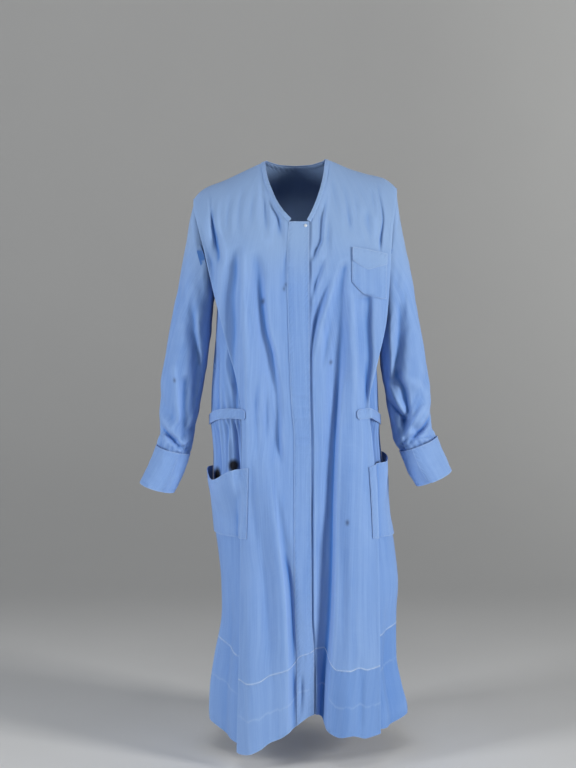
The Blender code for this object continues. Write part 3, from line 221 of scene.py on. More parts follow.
@lru_cache(maxsize=None)
def cotton(name, shade=0.0, hem=False, spots=False, fadeAndShade=0.0, shadePatches=()):
    s = Shader("cotton_" + name)
    cut = s.split(s.node("ShaderNodeUVMap", {"uv_map": "flatCut"}))
    place = s.node("ShaderNodeTexCoord", output=3)
    x, y, z = s.split(place)
    edge = s.node("ShaderNodeAttribute", {"attribute_name": "edgeDistance"}, output=2)
    hemLine = s.node("ShaderNodeAttribute", {"attribute_name": "hemDistance"}, output=2)
    hollow = s.node("ShaderNodeAttribute", {"attribute_name": "hollow"}, output=2)

    # uneven yarn: long slubs down the cloth, short ones across it
    slubs = s.clouds(s.join(cut[0] * 520.0, cut[1] * 9.0, shade), 3.0, 0.6)
    crossSlubs = s.clouds(s.join(cut[0] * 14.0, cut[1] * 640.0, shade + 3.0), 2.0, 0.5)
    streaks = s.clouds(s.join(cut[0] * 95.0, cut[1] * 2.2, shade + 7.0), 2.0, 0.5)
    patches = s.clouds(s.join(x * 7.0, y * 7.0 + shade * 3.0, z * 4.5), 3.0, 0.55)
    mottle = s.clouds(s.join(x * 55.0, y * 55.0, z * 40.0), 3.0, 0.6)

    base = s.colour(patches.between(0.30, 0.70), cottonLook["deep"], cottonLook["body"])
    base = s.colour((slubs.between(0.25, 0.80) * 0.34 + streaks.between(0.3, 0.75) * 0.22), base, cottonLook["pale"])
    base = s.colour(crossSlubs.between(0.45, 0.85) * 0.14, base, cottonLook["pale"])
    base = s.colour(mottle.between(0.35, 0.80) * 0.10, base, cottonLook["faded"])
    height = z + (patches - 0.5) * 0.10
    base = s.colour(height.between(-0.27, -0.13) * 0.72, base, cottonLook["shoulder"])
    base = s.colour(height.between(-0.80, -1.10) * max(0.30 + fadeAndShade, 0.1), base, cottonLook["faded"])
    # below nought this is painted shade, for panels that lie in shadow; above nought it is real fading
    if fadeAndShade < 0.0:
        base = s.colour(-fadeAndShade, base, cottonLook["kept"])
    elif fadeAndShade:
        base = s.colour(fadeAndShade * patches.between(0.2, 0.7), base, cottonLook["faded"])
    # painted shade in the hollows and painted highlight on the ridges, from how far each point lies below its smoothed
    # surface
    base = s.colour(hollow.between(-0.0004, 0.0062) * 0.90, base, cottonLook["kept"])
    base = s.colour(hollow.between(-0.0004, -0.0030) * 0.40, base, cottonLook["pale"])
    # worn edges, and the line where the hem was turned
    broken = mottle.between(0.25, 0.62)
    base = s.colour(edge.bell(0.0013) * (0.08 + 0.20 * broken), base, cottonLook["worn"])
    if hem:
        # painted shade: a darker band below the hem line towards +X, beside the deep fold of the left front
        hemBandShade = hemLine.between(0.001, -0.004) * x.between(0.035, 0.075)
        base = s.colour(hemBandShade * (0.22 + 0.2 * patches), base, cottonLook["kept"])
        base = s.colour(hemLine.bell(0.0016) * (0.10 + 0.45 * broken), base, cottonLook["worn"])
        oldHem = (hemLine + 0.072 + (streaks - 0.5) * 0.012).bell(0.0022)
        base = s.colour(oldHem * 0.16 * broken, base, cottonLook["worn"])
    if spots:
        for spotX, spotY, spotZ, radius, strength in marks:
            away = ((x - spotX) * (x - spotX) + (z - spotZ) * (z - spotZ) * 0.45) ** 0.5
            ragged = away + (mottle - 0.5) * radius * 1.6
            base = s.colour(ragged.bell(radius) * strength * y.between(0.02, 0.0), base, cottonLook["stain"])

    # painted shade: near-black patches behind the pocket mouths, in the inside colour
    for patchX, patchZ, wide, high in shadePatches:
        away = (((x - patchX) / wide) ** 2.0 + ((z - patchZ) / high) ** 2.0) ** 0.5 + (mottle - 0.5) * 0.2
        base = s.colour(away.between(1.35, 0.50), base, cottonLook["inside"])

    pitch = 2.0 * math.pi / cottonLook["threadPitch"]
    weave = (cut[0] * pitch).wave() * (cut[1] * pitch).wave() * 0.000022
    ripple = s.clouds(s.join(cut[0] * 60.0, cut[1] * 24.0, shade + 11.0), 3.0, 0.55) * 0.00085
    drawn = ((cut[0] + cut[1]) * 560.0 + ripple * 6000.0).wave() * (edge - 0.004).bell(0.006) * 0.00022
    bulk = weave + slubs * 0.00010 + ripple + drawn
    if hem:
        bulk = bulk + hemLine.between(0.0010, -0.0010) * 0.0005 + hemLine.bell(0.0022) * 0.0008
        bulk = bulk + (cut[0] * 480.0 + ripple * 5000.0).wave() * (hemLine + 0.004).bell(0.009) * 0.00030
    bump = s.node("ShaderNodeBump", None, {"Strength": 0.9, "Distance": 1.0, "Height": bulk})
    rough = cottonLook["roughness"] - slubs * 0.08
    return s.finish(Base_Color=base, Roughness=rough, Normal=bump, Sheen_Weight=0.12, Sheen_Roughness=0.5)


def threadFinish(name, light, dark):
    s = Shader(name)
    x, y, z = s.split(s.node("ShaderNodeTexCoord", output=3))
    twist = ((x + y + z * 1.3) * 5200.0).wave()
    patches = s.clouds(s.join(x * 40.0, y * 40.0, z * 40.0))
    base = s.colour(patches.between(0.3, 0.7), dark, light)
    bump = s.node("ShaderNodeBump", None, {"Strength": 0.5, "Distance": 1.0, "Height": twist * 0.00003})
    return s.finish(Base_Color=base, Roughness=0.62 + patches * 0.1, Normal=bump, Sheen_Weight=0.2)


sewingThread = threadFinish("sewing_thread", tone(136, 166, 212), tone(108, 142, 200))
hemThread = threadFinish("hem_thread", tone(206, 222, 242), tone(150, 180, 220))
darkThread = threadFinish("dark_thread", tone(60, 92, 150), tone(38, 62, 112))


def moulded(name, face, rim, rough):
    s = Shader(name)
    place = s.node("ShaderNodeTexCoord", output=3)
    x, y, z = s.split(place)
    swirl = s.clouds(s.join(x * 500.0, y * 500.0, z * 260.0), 4.0, 0.6)
    base = s.colour(swirl.between(0.3, 0.75), face, rim)
    scuffs = s.clouds(s.join(x * 1800.0, y * 1800.0, z * 1800.0), 2.0, 0.5)
    bump = s.node("ShaderNodeBump", None, {"Strength": 0.4, "Distance": 1.0, "Height": scuffs * 0.00006})
    return s.finish(Base_Color=base, Roughness=rough + scuffs * 0.2, Normal=bump)


hollowReach = 0.015     # how far round a point counts when its hollow is measured
panels = {}      # the outer face of each cloth piece, for what is sewn on it


def meanLine(points, reach, closed=False):
    # each point replaced by the mean of those within reach along the line
    count = len(points)
    if closed:
        points = points[-reach - 1:-1] + points + points[1:reach + 1]
    sums = [Vector()]
    for point in points:
        sums.append(sums[-1] + point)
    means = []
    for i in range(count):
        step = reach if closed else min(reach, i, count - 1 - i)
        middle = i + reach if closed else i
        means.append((sums[middle + step + 1] - sums[middle - step]) / (2 * step + 1))
    return means


def clothPanel(name, look, pointAt, hemAt=None, flip=False, closed=False):
    # A grid is laid on the surface, keeps its flat cut as a UV map in metres, and gets a wall.
    columns, rows = look["columns"], look["rows"]
    mesh = bmesh.new()
    bmesh.ops.create_grid(mesh, x_segments=columns, y_segments=rows, size=0.5)
    edgeLayer = mesh.verts.layers.float.new("edgeDistance")
    hemLayer = mesh.verts.layers.float.new("hemDistance")
    hollowLayer = mesh.verts.layers.float.new("hollow")
    calmLayer = mesh.verts.layers.float_vector.new("calmPlace")
    cutLayer = mesh.loops.layers.uv.new("flatCut")
    grid = [[None] * (columns + 1) for _ in range(rows + 1)]
    for vert in mesh.verts:
        i, j = round((vert.co.x + 0.5) * columns), round((0.5 - vert.co.y) * rows)
        vert.co = pointAt(i / columns, j / rows)
        vert[hemLayer] = hemAt(vert.co) if hemAt else 1.0
        grid[j][i] = vert
    middle = round(look.get("grain", 0.5) * columns)
    runs, drops = [], [[0.0] * (columns + 1)]
    for j, line in enumerate(grid):
        run = [0.0]
        for i in range(columns):
            run.append(run[-1] + (line[i + 1].co - line[i].co).length)
        runs.append(run)
        if j:
            drops.append([drops[-1][i] + (line[i].co - grid[j - 1][i].co).length for i in range(columns + 1)])
    cut = {}
    for j, line in enumerate(grid):
        for i, vert in enumerate(line):
            aside = 1.0 if closed else min(runs[j][i], runs[j][-1] - runs[j][i])
            vert[edgeLayer] = min(aside, drops[j][i], drops[-1][i] - drops[j][i])
            cut[vert] = (runs[j][i] - runs[j][middle], drops[j][i])
    reach = max(1, round(hollowReach * columns / max(sum(run[-1] for run in runs) / len(runs), 0.001)))
    calm = [meanLine([vert.co for vert in line], min(reach, columns // 2), closed) for line in grid]
    reach = max(1, round(hollowReach * rows / max(sum(drops[-1]) / len(drops[-1]), 0.001)))
    for i in range(columns + 1):
        for j, point in enumerate(meanLine([line[i] for line in calm], min(reach, rows // 2))):
            grid[j][i][calmLayer] = point
    for face in mesh.faces:
        face.smooth = True
        for loop in face.loops:
            loop[cutLayer].uv = cut[loop.vert]
    if flip:
        bmesh.ops.reverse_faces(mesh, faces=mesh.faces[:])
    if closed:
        bmesh.ops.remove_doubles(mesh, verts=mesh.verts[:], dist=0.00001)
    mesh.normal_update()
    for vert in mesh.verts:
        vert[hollowLayer] = (vert[calmLayer] - vert.co).dot(vert.normal)
    panels[name] = BVHTree.FromBMesh(mesh)
    print(name, round(sum(face.calc_area() for face in mesh.faces), 4))
    inner = [(vert, vert.normal.copy()) for vert in mesh.verts]
    bmesh.ops.extrude_face_region(mesh, geom=mesh.faces[:], use_keep_orig=True)
    for vert, normal in inner:
        vert.co -= normal * look["wall"]
    mesh.normal_update()
    for seam in mesh.edges:
        seam.smooth = seam.calc_face_angle(0.0) < 1.1
    return addPiece(name, mesh, look)


def addPiece(name, mesh, look):
    data = bpy.data.meshes.new(name)
    mesh.to_mesh(data)
    mesh.free()
    piece = bpy.data.objects.new(name, data)
    bpy.context.collection.objects.link(piece)
    data.materials.append(look["finish"])
    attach(piece, "root")
    if look.get("replaces"):
        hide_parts(look["replaces"])
    return piece


# The general form: sections of the fronts, of the sides and of the back.
neckHalf, shoulderHalf = 0.066, 0.204
rollNeck, rollTip = 0.165, 0.100
seamGap, seamDraw, laidGap, curvedGap, lapDepth = 0.0003, 0.0006, 0.0007, 0.0013, 0.0030
slopeStep = 0.0012
waistFront, waistSide = -0.494, -0.519

# distance from the middle, right side height, left side height
shoulderLine = Table(
    (0.000, 0.020, 0.020), (0.066, -0.002, 0.004), (0.110, -0.022, -0.014), (0.140, -0.036, -0.023),
    (0.176, -0.050, -0.032), (0.193, -0.062, -0.043), (0.204, -0.076, -0.054))
# distance from the middle, height
neckRight = Table(
    (0.011, -0.116), (0.026, -0.100), (0.040, -0.080), (0.052, -0.056), (0.0595, -0.036), (0.0635, -0.020),
    (0.066, -0.002))
neckLeft = Table(
    (0.027, -0.118), (0.036, -0.101), (0.0455, -0.080), (0.0545, -0.056), (0.0600, -0.036), (0.0635, -0.018),
    (0.066, 0.004))
neckBack = Table((0.000, -0.014), (0.030, -0.012), (0.052, -0.006), (0.066, 0.001))

# height, middle x, half width, depth, squareness
frontSection = Table(
    (0.030, 0.000, 0.226, 0.080, 2.6), (-0.060, 0.000, 0.224, 0.094, 2.6), (-0.120, 0.000, 0.221, 0.104, 2.6),
    (-0.180, 0.000, 0.215, 0.114, 2.6), (-0.260, 0.002, 0.206, 0.121, 2.6), (-0.350, 0.004, 0.195, 0.120, 2.6),
    (-0.450, 0.008, 0.186, 0.117, 2.6), (-0.510, 0.010, 0.184, 0.117, 2.6), (-0.600, 0.012, 0.188, 0.123, 2.6),
    (-0.750, 0.018, 0.198, 0.138, 2.6), (-0.900, 0.024, 0.205, 0.154, 2.6), (-1.050, 0.028, 0.215, 0.171, 2.6),
    (-1.180, 0.028, 0.222, 0.184, 2.6))
# height, right-most x, left-most x, front depth, back depth, squareness
bodySection = Table(
    (-0.240, -0.155, 0.157, 0.112, 0.118, 2.8), (-0.260, -0.156, 0.158, 0.113, 0.118, 2.8),
    (-0.340, -0.160, 0.161, 0.113, 0.118, 2.8), (-0.410, -0.166, 0.166, 0.110, 0.112, 2.8),
    (-0.470, -0.170, 0.169, 0.108, 0.106, 2.8), (-0.520, -0.171, 0.171, 0.107, 0.104, 2.7),
    (-0.600, -0.166, 0.177, 0.112, 0.112, 2.6), (-0.700, -0.166, 0.190, 0.122, 0.124, 2.5),
    (-0.780, -0.158, 0.204, 0.130, 0.132, 2.5), (-0.850, -0.151, 0.211, 0.138, 0.140, 2.5),
    (-0.910, -0.148, 0.206, 0.143, 0.146, 2.5), (-1.000, -0.161, 0.203, 0.152, 0.156, 2.5),
    (-1.060, -0.169, 0.214, 0.157, 0.163, 2.5), (-1.110, -0.171, 0.226, 0.161, 0.168, 2.5),
    (-1.180, -0.160, 0.212, 0.166, 0.174, 2.5))
# height, half width, depth, squareness
backTopSection = Table(
    (0.030, 0.226, 0.070, 2.6), (-0.060, 0.222, 0.092, 2.6), (-0.100, 0.215, 0.102, 2.6),
    (-0.150, 0.196, 0.112, 2.6), (-0.200, 0.176, 0.117, 2.7), (-0.260, 0.157, 0.118, 2.8))
# height, distance from the middle
backArmhole = Table(
    (-0.060, 0.2040), (-0.076, 0.2035), (-0.100, 0.190), (-0.130, 0.174), (-0.180, 0.157), (-0.220, 0.149),
    (-0.262, 0.1460))
# height, x
pleatRight = Table(
    (0.000, -0.204), (-0.080, -0.204), (-0.123, -0.194), (-0.182, -0.178), (-0.256, -0.162), (-0.349, -0.138),
    (-0.426, -0.118), (-0.488, -0.108), (-0.596, -0.106), (-0.786, -0.110), (-0.943, -0.112), (-1.149, -0.117))
pleatLeft = Table(
    (0.000, 0.204), (-0.056, 0.204), (-0.084, 0.200), (-0.137, 0.193), (-0.195, 0.190), (-0.305, 0.183),
    (-0.396, 0.164), (-0.480, 0.147), (-0.548, 0.154), (-0.667, 0.163), (-0.786, 0.167), (-0.905, 0.169),
    (-1.131, 0.171))
# height, x of the stitched edge, x of the lapping edge
placketLine = Table(
    (-0.116, -0.012, 0.027), (-0.190, -0.016, 0.027), (-0.465, -0.008, 0.029), (-0.545, -0.002, 0.031),
    (-0.780, -0.002, 0.032), (-0.900, 0.000, 0.033), (-0.976, 0.003, 0.038), (-1.180, 0.003, 0.038))
# x, height
frontHem = Table(
    (-0.120, -1.160), (-0.109, -1.163), (-0.093, -1.161), (-0.069, -1.151), (-0.050, -1.138), (-0.030, -1.130),
    (-0.010, -1.118), (0.010, -1.104), (0.029, -1.092), (0.039, -1.089), (0.052, -1.096), (0.061, -1.114),
    (0.088, -1.125), (0.112, -1.121), (0.140, -1.130), (0.164, -1.128), (0.176, -1.124))
# y, right side height, left side height
sideHem = Table(
    (-0.190, -1.162, -1.126), (-0.110, -1.152, -1.128), (-0.050, -1.132, -1.118), (0.020, -1.122, -1.112),
    (0.100, -1.128, -1.122), (0.180, -1.134, -1.134))
# the line that the turned hem was sewn along: x, height
hemSewing = Table(
    (-0.130, -1.018), (-0.111, -1.017), (-0.095, -1.023), (-0.073, -1.019), (-0.050, -1.006), (-0.020, -0.996),
    (-0.006, -0.990), (0.009, -0.972), (0.029, -0.966), (0.043, -0.958), (0.057, -0.958), (0.069, -0.982),
    (0.083, -0.994), (0.108, -0.994), (0.124, -0.990), (0.144, -0.996), (0.163, -0.994), (0.180, -0.990))

# Folds. Each row: height, x, width towards -X, width towards +X, how far the cloth stands out.
rightFolds = (
    # gathers below the shoulder seam, from the neck outwards
    Table((-0.066, -0.0520, 0.0048, 0.0048, 0.0000), (-0.084, -0.0456, 0.0048, 0.0048, -0.0052),
          (-0.113, -0.0320, 0.0060, 0.0060, -0.0089), (-0.151, -0.0280, 0.0144, 0.0084, -0.0033),
          (-0.200, -0.0260, 0.0120, 0.0120, 0.0000)),
    Table((-0.020, -0.0700, 0.0048, 0.0048, 0.0000), (-0.060, -0.0640, 0.0054, 0.0054, -0.0033),
          (-0.084, -0.0590, 0.0054, 0.0054, -0.0071), (-0.113, -0.0580, 0.0066, 0.0066, -0.0056),
          (-0.150, -0.0560, 0.0108, 0.0108, 0.0000)),
    Table((-0.034, -0.0780, 0.0060, 0.0060, 0.0000), (-0.084, -0.0850, 0.0060, 0.0060, -0.0033),
          (-0.140, -0.0900, 0.0108, 0.0108, 0.0000)),
    Table((-0.040, -0.1020, 0.0060, 0.0060, 0.0000), (-0.084, -0.1100, 0.0060, 0.0060, -0.0030),
          (-0.113, -0.1120, 0.0066, 0.0066, -0.0028), (-0.160, -0.1080, 0.0120, 0.0120, 0.0000)),
    Table((-0.050, -0.1260, 0.0060, 0.0060, 0.0000), (-0.113, -0.1340, 0.0072, 0.0072, -0.0042),
          (-0.160, -0.1360, 0.0108, 0.0108, 0.0000)),
    # hollow beside the stitched shoulder fold, and the bend along the pleat edge
    Table((-0.064, -0.1580, 0.0050, 0.0050, 0.0000), (-0.113, -0.1620, 0.0050, 0.0050, -0.0063),
          (-0.151, -0.1530, 0.0135, 0.0050, -0.0131), (-0.185, -0.1500, 0.0180, 0.0060, -0.0144),
          (-0.209, -0.1570, 0.0180, 0.0070, -0.0075), (-0.250, -0.1650, 0.0100, 0.0100, 0.0000)),
    Table((-0.110, -0.1900, 0.0080, 0.0080, 0.0000), (-0.151, -0.1800, 0.0120, 0.0070, -0.0063),
          (-0.209, -0.1640, 0.0150, 0.0080, -0.0088), (-0.268, -0.1600, 0.0150, 0.0065, -0.0100),
          (-0.326, -0.1560, 0.0150, 0.0065, -0.0119), (-0.375, -0.1400, 0.0080, 0.0080, 0.0000)),
    # trough and ridge that run down beside the pleat
    Table((-0.160, -0.1180, 0.0100, 0.0100, 0.0000), (-0.209, -0.1160, 0.0180, 0.0070, -0.0100),
          (-0.268, -0.1220, 0.0180, 0.0100, -0.0119), (-0.326, -0.1190, 0.0180, 0.0080, -0.0125),
          (-0.385, -0.1220, 0.0150, 0.0090, -0.0137), (-0.440, -0.1180, 0.0080, 0.0080, -0.0056),
          (-0.480, -0.1120, 0.0080, 0.0080, 0.0000)),
    Table((-0.150, -0.1000, 0.0120, 0.0160, 0.0000), (-0.209, -0.1000, 0.0100, 0.0180, 0.0063),
          (-0.268, -0.0980, 0.0120, 0.0200, 0.0075), (-0.330, -0.0990, 0.0090, 0.0220, 0.0106),
          (-0.400, -0.0970, 0.0090, 0.0240, 0.0119), (-0.544, -0.0950, 0.0100, 0.0300, 0.0094),
          (-0.662, -0.0900, 0.0120, 0.0300, 0.0050), (-0.780, -0.0900, 0.0140, 0.0300, 0.0000)),
    # slanting fold from the chest to the foot of the opening
    Table((-0.170, -0.0800, 0.0120, 0.0100, 0.0000), (-0.209, -0.0730, 0.0210, 0.0100, -0.0081),
          (-0.268, -0.0650, 0.0210, 0.0060, -0.0125), (-0.326, -0.0573, 0.0210, 0.0050, -0.0137),
          (-0.385, -0.0430, 0.0225, 0.0050, -0.0137), (-0.465, -0.0360, 0.0210, 0.0080, -0.0081),
          (-0.544, -0.0325, 0.0210, 0.0050, -0.0106), (-0.600, -0.0310, 0.0120, 0.0080, 0.0000)),
    # skirt
    Table((-0.560, -0.0600, 0.0200, 0.0120, 0.0000), (-0.660, -0.0460, 0.0240, 0.0090, 0.0100),
          (-0.782, -0.0290, 0.0260, 0.0070, 0.0144), (-0.900, -0.0180, 0.0280, 0.0070, 0.0144),
          (-1.037, -0.0140, 0.0280, 0.0090, 0.0119), (-1.120, -0.0140, 0.0280, 0.0120, 0.0075)),
    Table((-0.700, -0.0880, 0.0260, 0.0300, 0.0000), (-0.950, -0.0920, 0.0280, 0.0340, 0.0150),
          (-1.180, -0.0920, 0.0300, 0.0400, 0.0220)),
    Table((-0.600, 0.0340, 0.0300, 0.0120, 0.0000), (-0.850, 0.0360, 0.0540, 0.0120, -0.0125),
          (-1.180, 0.0380, 0.0440, 0.0140, -0.0260)),
)
leftFolds = (
    # pulls that slant down to the lapping edge
    Table((-0.060, 0.060, 0.0060, 0.0040, 0.0000), (-0.090, 0.0560, 0.0090, 0.0035, -0.0060),
          (-0.113, 0.0530, 0.0130, 0.0032, -0.0090), (-0.151, 0.0500, 0.0140, 0.0034, -0.0090),
          (-0.172, 0.040, 0.0100, 0.0050, -0.0080), (-0.195, 0.031, 0.0080, 0.0060, 0.0000)),
    Table((-0.180, 0.058, 0.0080, 0.0060, 0.0000), (-0.205, 0.050, 0.0110, 0.0050, -0.0060),
          (-0.235, 0.040, 0.0100, 0.0050, -0.0070), (-0.270, 0.030, 0.0080, 0.0060, 0.0000)),
    Table((-0.225, 0.066, 0.0100, 0.0060, 0.0000), (-0.262, 0.056, 0.0140, 0.0055, -0.0070),
          (-0.300, 0.044, 0.0130, 0.0060, -0.0085), (-0.340, 0.034, 0.0100, 0.0070, -0.0060),
          (-0.385, 0.028, 0.0080, 0.0060, 0.0000)),
    Table((-0.180, 0.100, 0.0120, 0.0120, 0.0000), (-0.209, 0.083, 0.0100, 0.0090, 0.0050),
          (-0.268, 0.066, 0.0080, 0.0100, 0.0070), (-0.326, 0.0485, 0.0080, 0.0140, 0.0070),
          (-0.385, 0.042, 0.0100, 0.0140, 0.0025), (-0.420, 0.040, 0.0100, 0.0140, 0.0000)),
    # the deep fold that opens from the chest down to the hem
    Table((-0.190, 0.0960, 0.0100, 0.0100, 0.0000), (-0.209, 0.0940, 0.0180, 0.0080, -0.0063),
          (-0.268, 0.0880, 0.0210, 0.0100, -0.0075), (-0.326, 0.0870, 0.0270, 0.0120, -0.0125),
          (-0.385, 0.0865, 0.0270, 0.0100, -0.0163), (-0.465, 0.0830, 0.0210, 0.0060, -0.0175),
          (-0.544, 0.0790, 0.0255, 0.0050, -0.0175), (-0.662, 0.0745, 0.0240, 0.0050, -0.0180),
          (-0.782, 0.0725, 0.0340, 0.0050, -0.0250), (-0.900, 0.0680, 0.0340, 0.0060, -0.0290),
          (-1.037, 0.0570, 0.0300, 0.0060, -0.0350), (-1.180, 0.0520, 0.0280, 0.0070, -0.0430)),
    Table((-0.240, 0.1080, 0.0100, 0.0100, 0.0000), (-0.268, 0.1130, 0.0100, 0.0070, 0.0050),
          (-0.326, 0.1150, 0.0120, 0.0060, 0.0100), (-0.385, 0.1200, 0.0160, 0.0050, 0.0125),
          (-0.465, 0.1190, 0.0180, 0.0100, 0.0100), (-0.544, 0.1270, 0.0260, 0.0160, 0.0088),
          (-0.662, 0.1250, 0.0260, 0.0200, 0.0075), (-0.800, 0.1250, 0.0300, 0.0300, 0.0050),
          (-0.900, 0.1250, 0.0300, 0.0300, 0.0000)),
    # hollow below the breast pocket
    Table((-0.255, 0.1420, 0.0100, 0.0100, 0.0000), (-0.268, 0.1425, 0.0180, 0.0090, -0.0100),
          (-0.326, 0.1400, 0.0180, 0.0100, -0.0131), (-0.385, 0.1435, 0.0165, 0.0090, -0.0131),
          (-0.465, 0.1400, 0.0060, 0.0060, -0.0050), (-0.500, 0.1390, 0.0060, 0.0060, 0.0000)),
    Table((-0.520, 0.1080, 0.0240, 0.0280, 0.0000), (-0.700, 0.1100, 0.0280, 0.0340, 0.0150),
          (-0.900, 0.1100, 0.0300, 0.0360, 0.0180), (-1.180, 0.1080, 0.0340, 0.0380, 0.0240)),
    # gathers below the shoulder seam, from the neck outwards
    Table((-0.025, 0.0700, 0.0054, 0.0054, 0.0000), (-0.055, 0.0745, 0.0054, 0.0054, -0.0035),
          (-0.084, 0.0800, 0.0068, 0.0068, -0.0023), (-0.120, 0.0840, 0.0108, 0.0108, 0.0000)),
    Table((-0.028, 0.0940, 0.0054, 0.0054, 0.0000), (-0.055, 0.0975, 0.0054, 0.0054, -0.0022),
          (-0.084, 0.1020, 0.0061, 0.0061, -0.0040), (-0.113, 0.1065, 0.0068, 0.0068, -0.0060),
          (-0.151, 0.1120, 0.0121, 0.0121, -0.0012), (-0.180, 0.1140, 0.0135, 0.0135, 0.0000)),
    Table((-0.035, 0.1240, 0.0068, 0.0068, 0.0000), (-0.055, 0.1280, 0.0068, 0.0068, -0.0017),
          (-0.084, 0.1430, 0.0081, 0.0081, -0.0025), (-0.113, 0.1420, 0.0142, 0.0081, -0.0062),
          (-0.151, 0.1480, 0.0095, 0.0095, -0.0031), (-0.170, 0.1500, 0.0095, 0.0095, 0.0000)),
)
# finer creases that only show close by, in the same columns
rightCreases = (
    Table((-0.052, -0.1720, 0.0030, 0.0030, 0.0000), (-0.100, -0.1660, 0.0030, 0.0030, -0.0042),
          (-0.151, -0.1570, 0.0030, 0.0030, -0.0036), (-0.185, -0.1470, 0.0040, 0.0040, 0.0000)),
    Table((-0.060, -0.1430, 0.0050, 0.0050, 0.0000), (-0.120, -0.1460, 0.0060, 0.0060, -0.0039),
          (-0.170, -0.1400, 0.0080, 0.0080, 0.0000)),
    Table((-0.150, -0.0120, 0.0050, 0.0050, 0.0000), (-0.200, -0.0200, 0.0060, 0.0060, -0.0033),
          (-0.280, -0.0260, 0.0080, 0.0080, 0.0000)),
    Table((-0.230, -0.0960, 0.0060, 0.0060, 0.0000), (-0.300, -0.0880, 0.0060, 0.0060, -0.0030),
          (-0.400, -0.0800, 0.0080, 0.0080, 0.0000)),
    Table((-0.420, -0.0740, 0.0050, 0.0050, 0.0000), (-0.480, -0.0780, 0.0078, 0.0050, -0.0054),
          (-0.560, -0.0760, 0.0104, 0.0070, -0.0030), (-0.640, -0.0740, 0.0080, 0.0080, 0.0000)),
    Table((-0.420, -0.0550, 0.0060, 0.0060, 0.0000), (-0.500, -0.0560, 0.0060, 0.0060, -0.0051),
          (-0.560, -0.0560, 0.0070, 0.0070, 0.0000)),
    Table((-0.540, -0.0880, 0.0080, 0.0080, 0.0000), (-0.640, -0.0860, 0.0117, 0.0080, -0.0045),
          (-0.760, -0.0760, 0.0100, 0.0080, 0.0000)),
    Table((-0.760, -0.0240, 0.0050, 0.0050, 0.0000), (-0.820, -0.0120, 0.0050, 0.0050, -0.0060),
          (-0.920, -0.0060, 0.0078, 0.0050, -0.0060), (-1.000, -0.0040, 0.0060, 0.0060, 0.0000)),
    Table((-0.720, -0.0640, 0.0080, 0.0080, 0.0000), (-0.860, -0.0560, 0.0100, 0.0100, -0.0045),
          (-1.020, -0.0500, 0.0100, 0.0100, 0.0000)),
    Table((-0.980, -0.0060, 0.0050, 0.0050, 0.0000), (-1.037, -0.0040, 0.0078, 0.0050, -0.0083),
          (-1.110, -0.0040, 0.0060, 0.0060, -0.0060)),
    Table((-1.000, 0.0120, 0.0050, 0.0050, 0.0000), (-1.040, 0.0120, 0.0050, 0.0050, -0.0051),
          (-1.100, 0.0080, 0.0060, 0.0060, -0.0015)),
)
leftCreases = (
    Table((-0.036, 0.1630, 0.0035, 0.0035, 0.0000), (-0.055, 0.1650, 0.0035, 0.0035, -0.0045),
          (-0.113, 0.1720, 0.0030, 0.0030, -0.0048), (-0.151, 0.1670, 0.0035, 0.0035, -0.0060),
          (-0.180, 0.1660, 0.0040, 0.0040, 0.0000)),
    Table((-0.050, 0.1160, 0.0050, 0.0050, 0.0000), (-0.100, 0.1200, 0.0060, 0.0060, -0.0033),
          (-0.160, 0.1220, 0.0080, 0.0080, 0.0000)),
    Table((-0.040, 0.1480, 0.0050, 0.0050, 0.0000), (-0.070, 0.1530, 0.0050, 0.0050, -0.0042),
          (-0.110, 0.1570, 0.0060, 0.0060, 0.0000)),
    Table((-0.100, 0.0660, 0.0060, 0.0060, 0.0000), (-0.151, 0.0640, 0.0091, 0.0060, -0.0045),
          (-0.190, 0.0620, 0.0080, 0.0080, 0.0000)),
    Table((-0.300, 0.0700, 0.0060, 0.0060, 0.0000), (-0.360, 0.0600, 0.0060, 0.0060, -0.0036),
          (-0.430, 0.0500, 0.0080, 0.0080, 0.0000)),
    Table((-0.385, 0.1380, 0.0040, 0.0040, 0.0000), (-0.440, 0.1390, 0.0040, 0.0040, -0.0045),
          (-0.480, 0.1380, 0.0050, 0.0050, 0.0000)),
    Table((-0.540, 0.1400, 0.0060, 0.0060, 0.0000), (-0.640, 0.1420, 0.0070, 0.0070, -0.0042),
          (-0.760, 0.1460, 0.0080, 0.0080, 0.0000)),
    Table((-0.700, 0.0960, 0.0080, 0.0080, 0.0000), (-0.860, 0.0960, 0.0100, 0.0100, -0.0036),
          (-1.040, 0.0960, 0.0100, 0.0100, 0.0000)),
    Table((-0.960, 0.1280, 0.0080, 0.0080, 0.0000), (-1.037, 0.1300, 0.0130, 0.0080, -0.0051),
          (-1.120, 0.1280, 0.0080, 0.0080, -0.0030)),
    Table((-0.960, 0.0400, 0.0050, 0.0050, 0.0000), (-1.037, 0.0420, 0.0050, 0.0050, 0.0090),
          (-1.100, 0.0420, 0.0050, 0.0050, 0.0075)),
)


@lru_cache(maxsize=None)
def foldReach(rows):
    # the heights and places between which a fold can be felt
    low = min(row[1] - 3.0 * row[2] for row in rows.rows)
    high = max(row[1] + 3.0 * row[3] for row in rows.rows)
    return (rows.keys[0] if rows.rows[0][4] == 0.0 else -2.0), rows.keys[-1], low, high


def foldsAt(folds, x, z):
    total = 0.0
    for rows in folds:
        bottom, top, low, high = foldReach(rows)
        if bottom <= z <= top and low < x < high:
            middle = along(rows, z, 1)
            total += along(rows, z, 4) * hump(x, middle, along(rows, z, 2 if x < middle else 3))
    return total


def rumple(x, z, seed):
    # soft unevenness that no cloth is without
    slow = noise.noise(Vector((x * 24.0, z * 7.0, seed)))
    quick = noise.noise(Vector((x * 66.0, z * 24.0, seed + 9.0)))
    return slow * 0.0013 + quick * 0.00045


def shoulder(x):
    return along(shoulderLine, abs(x), 1 if x < 0.0 else 2)


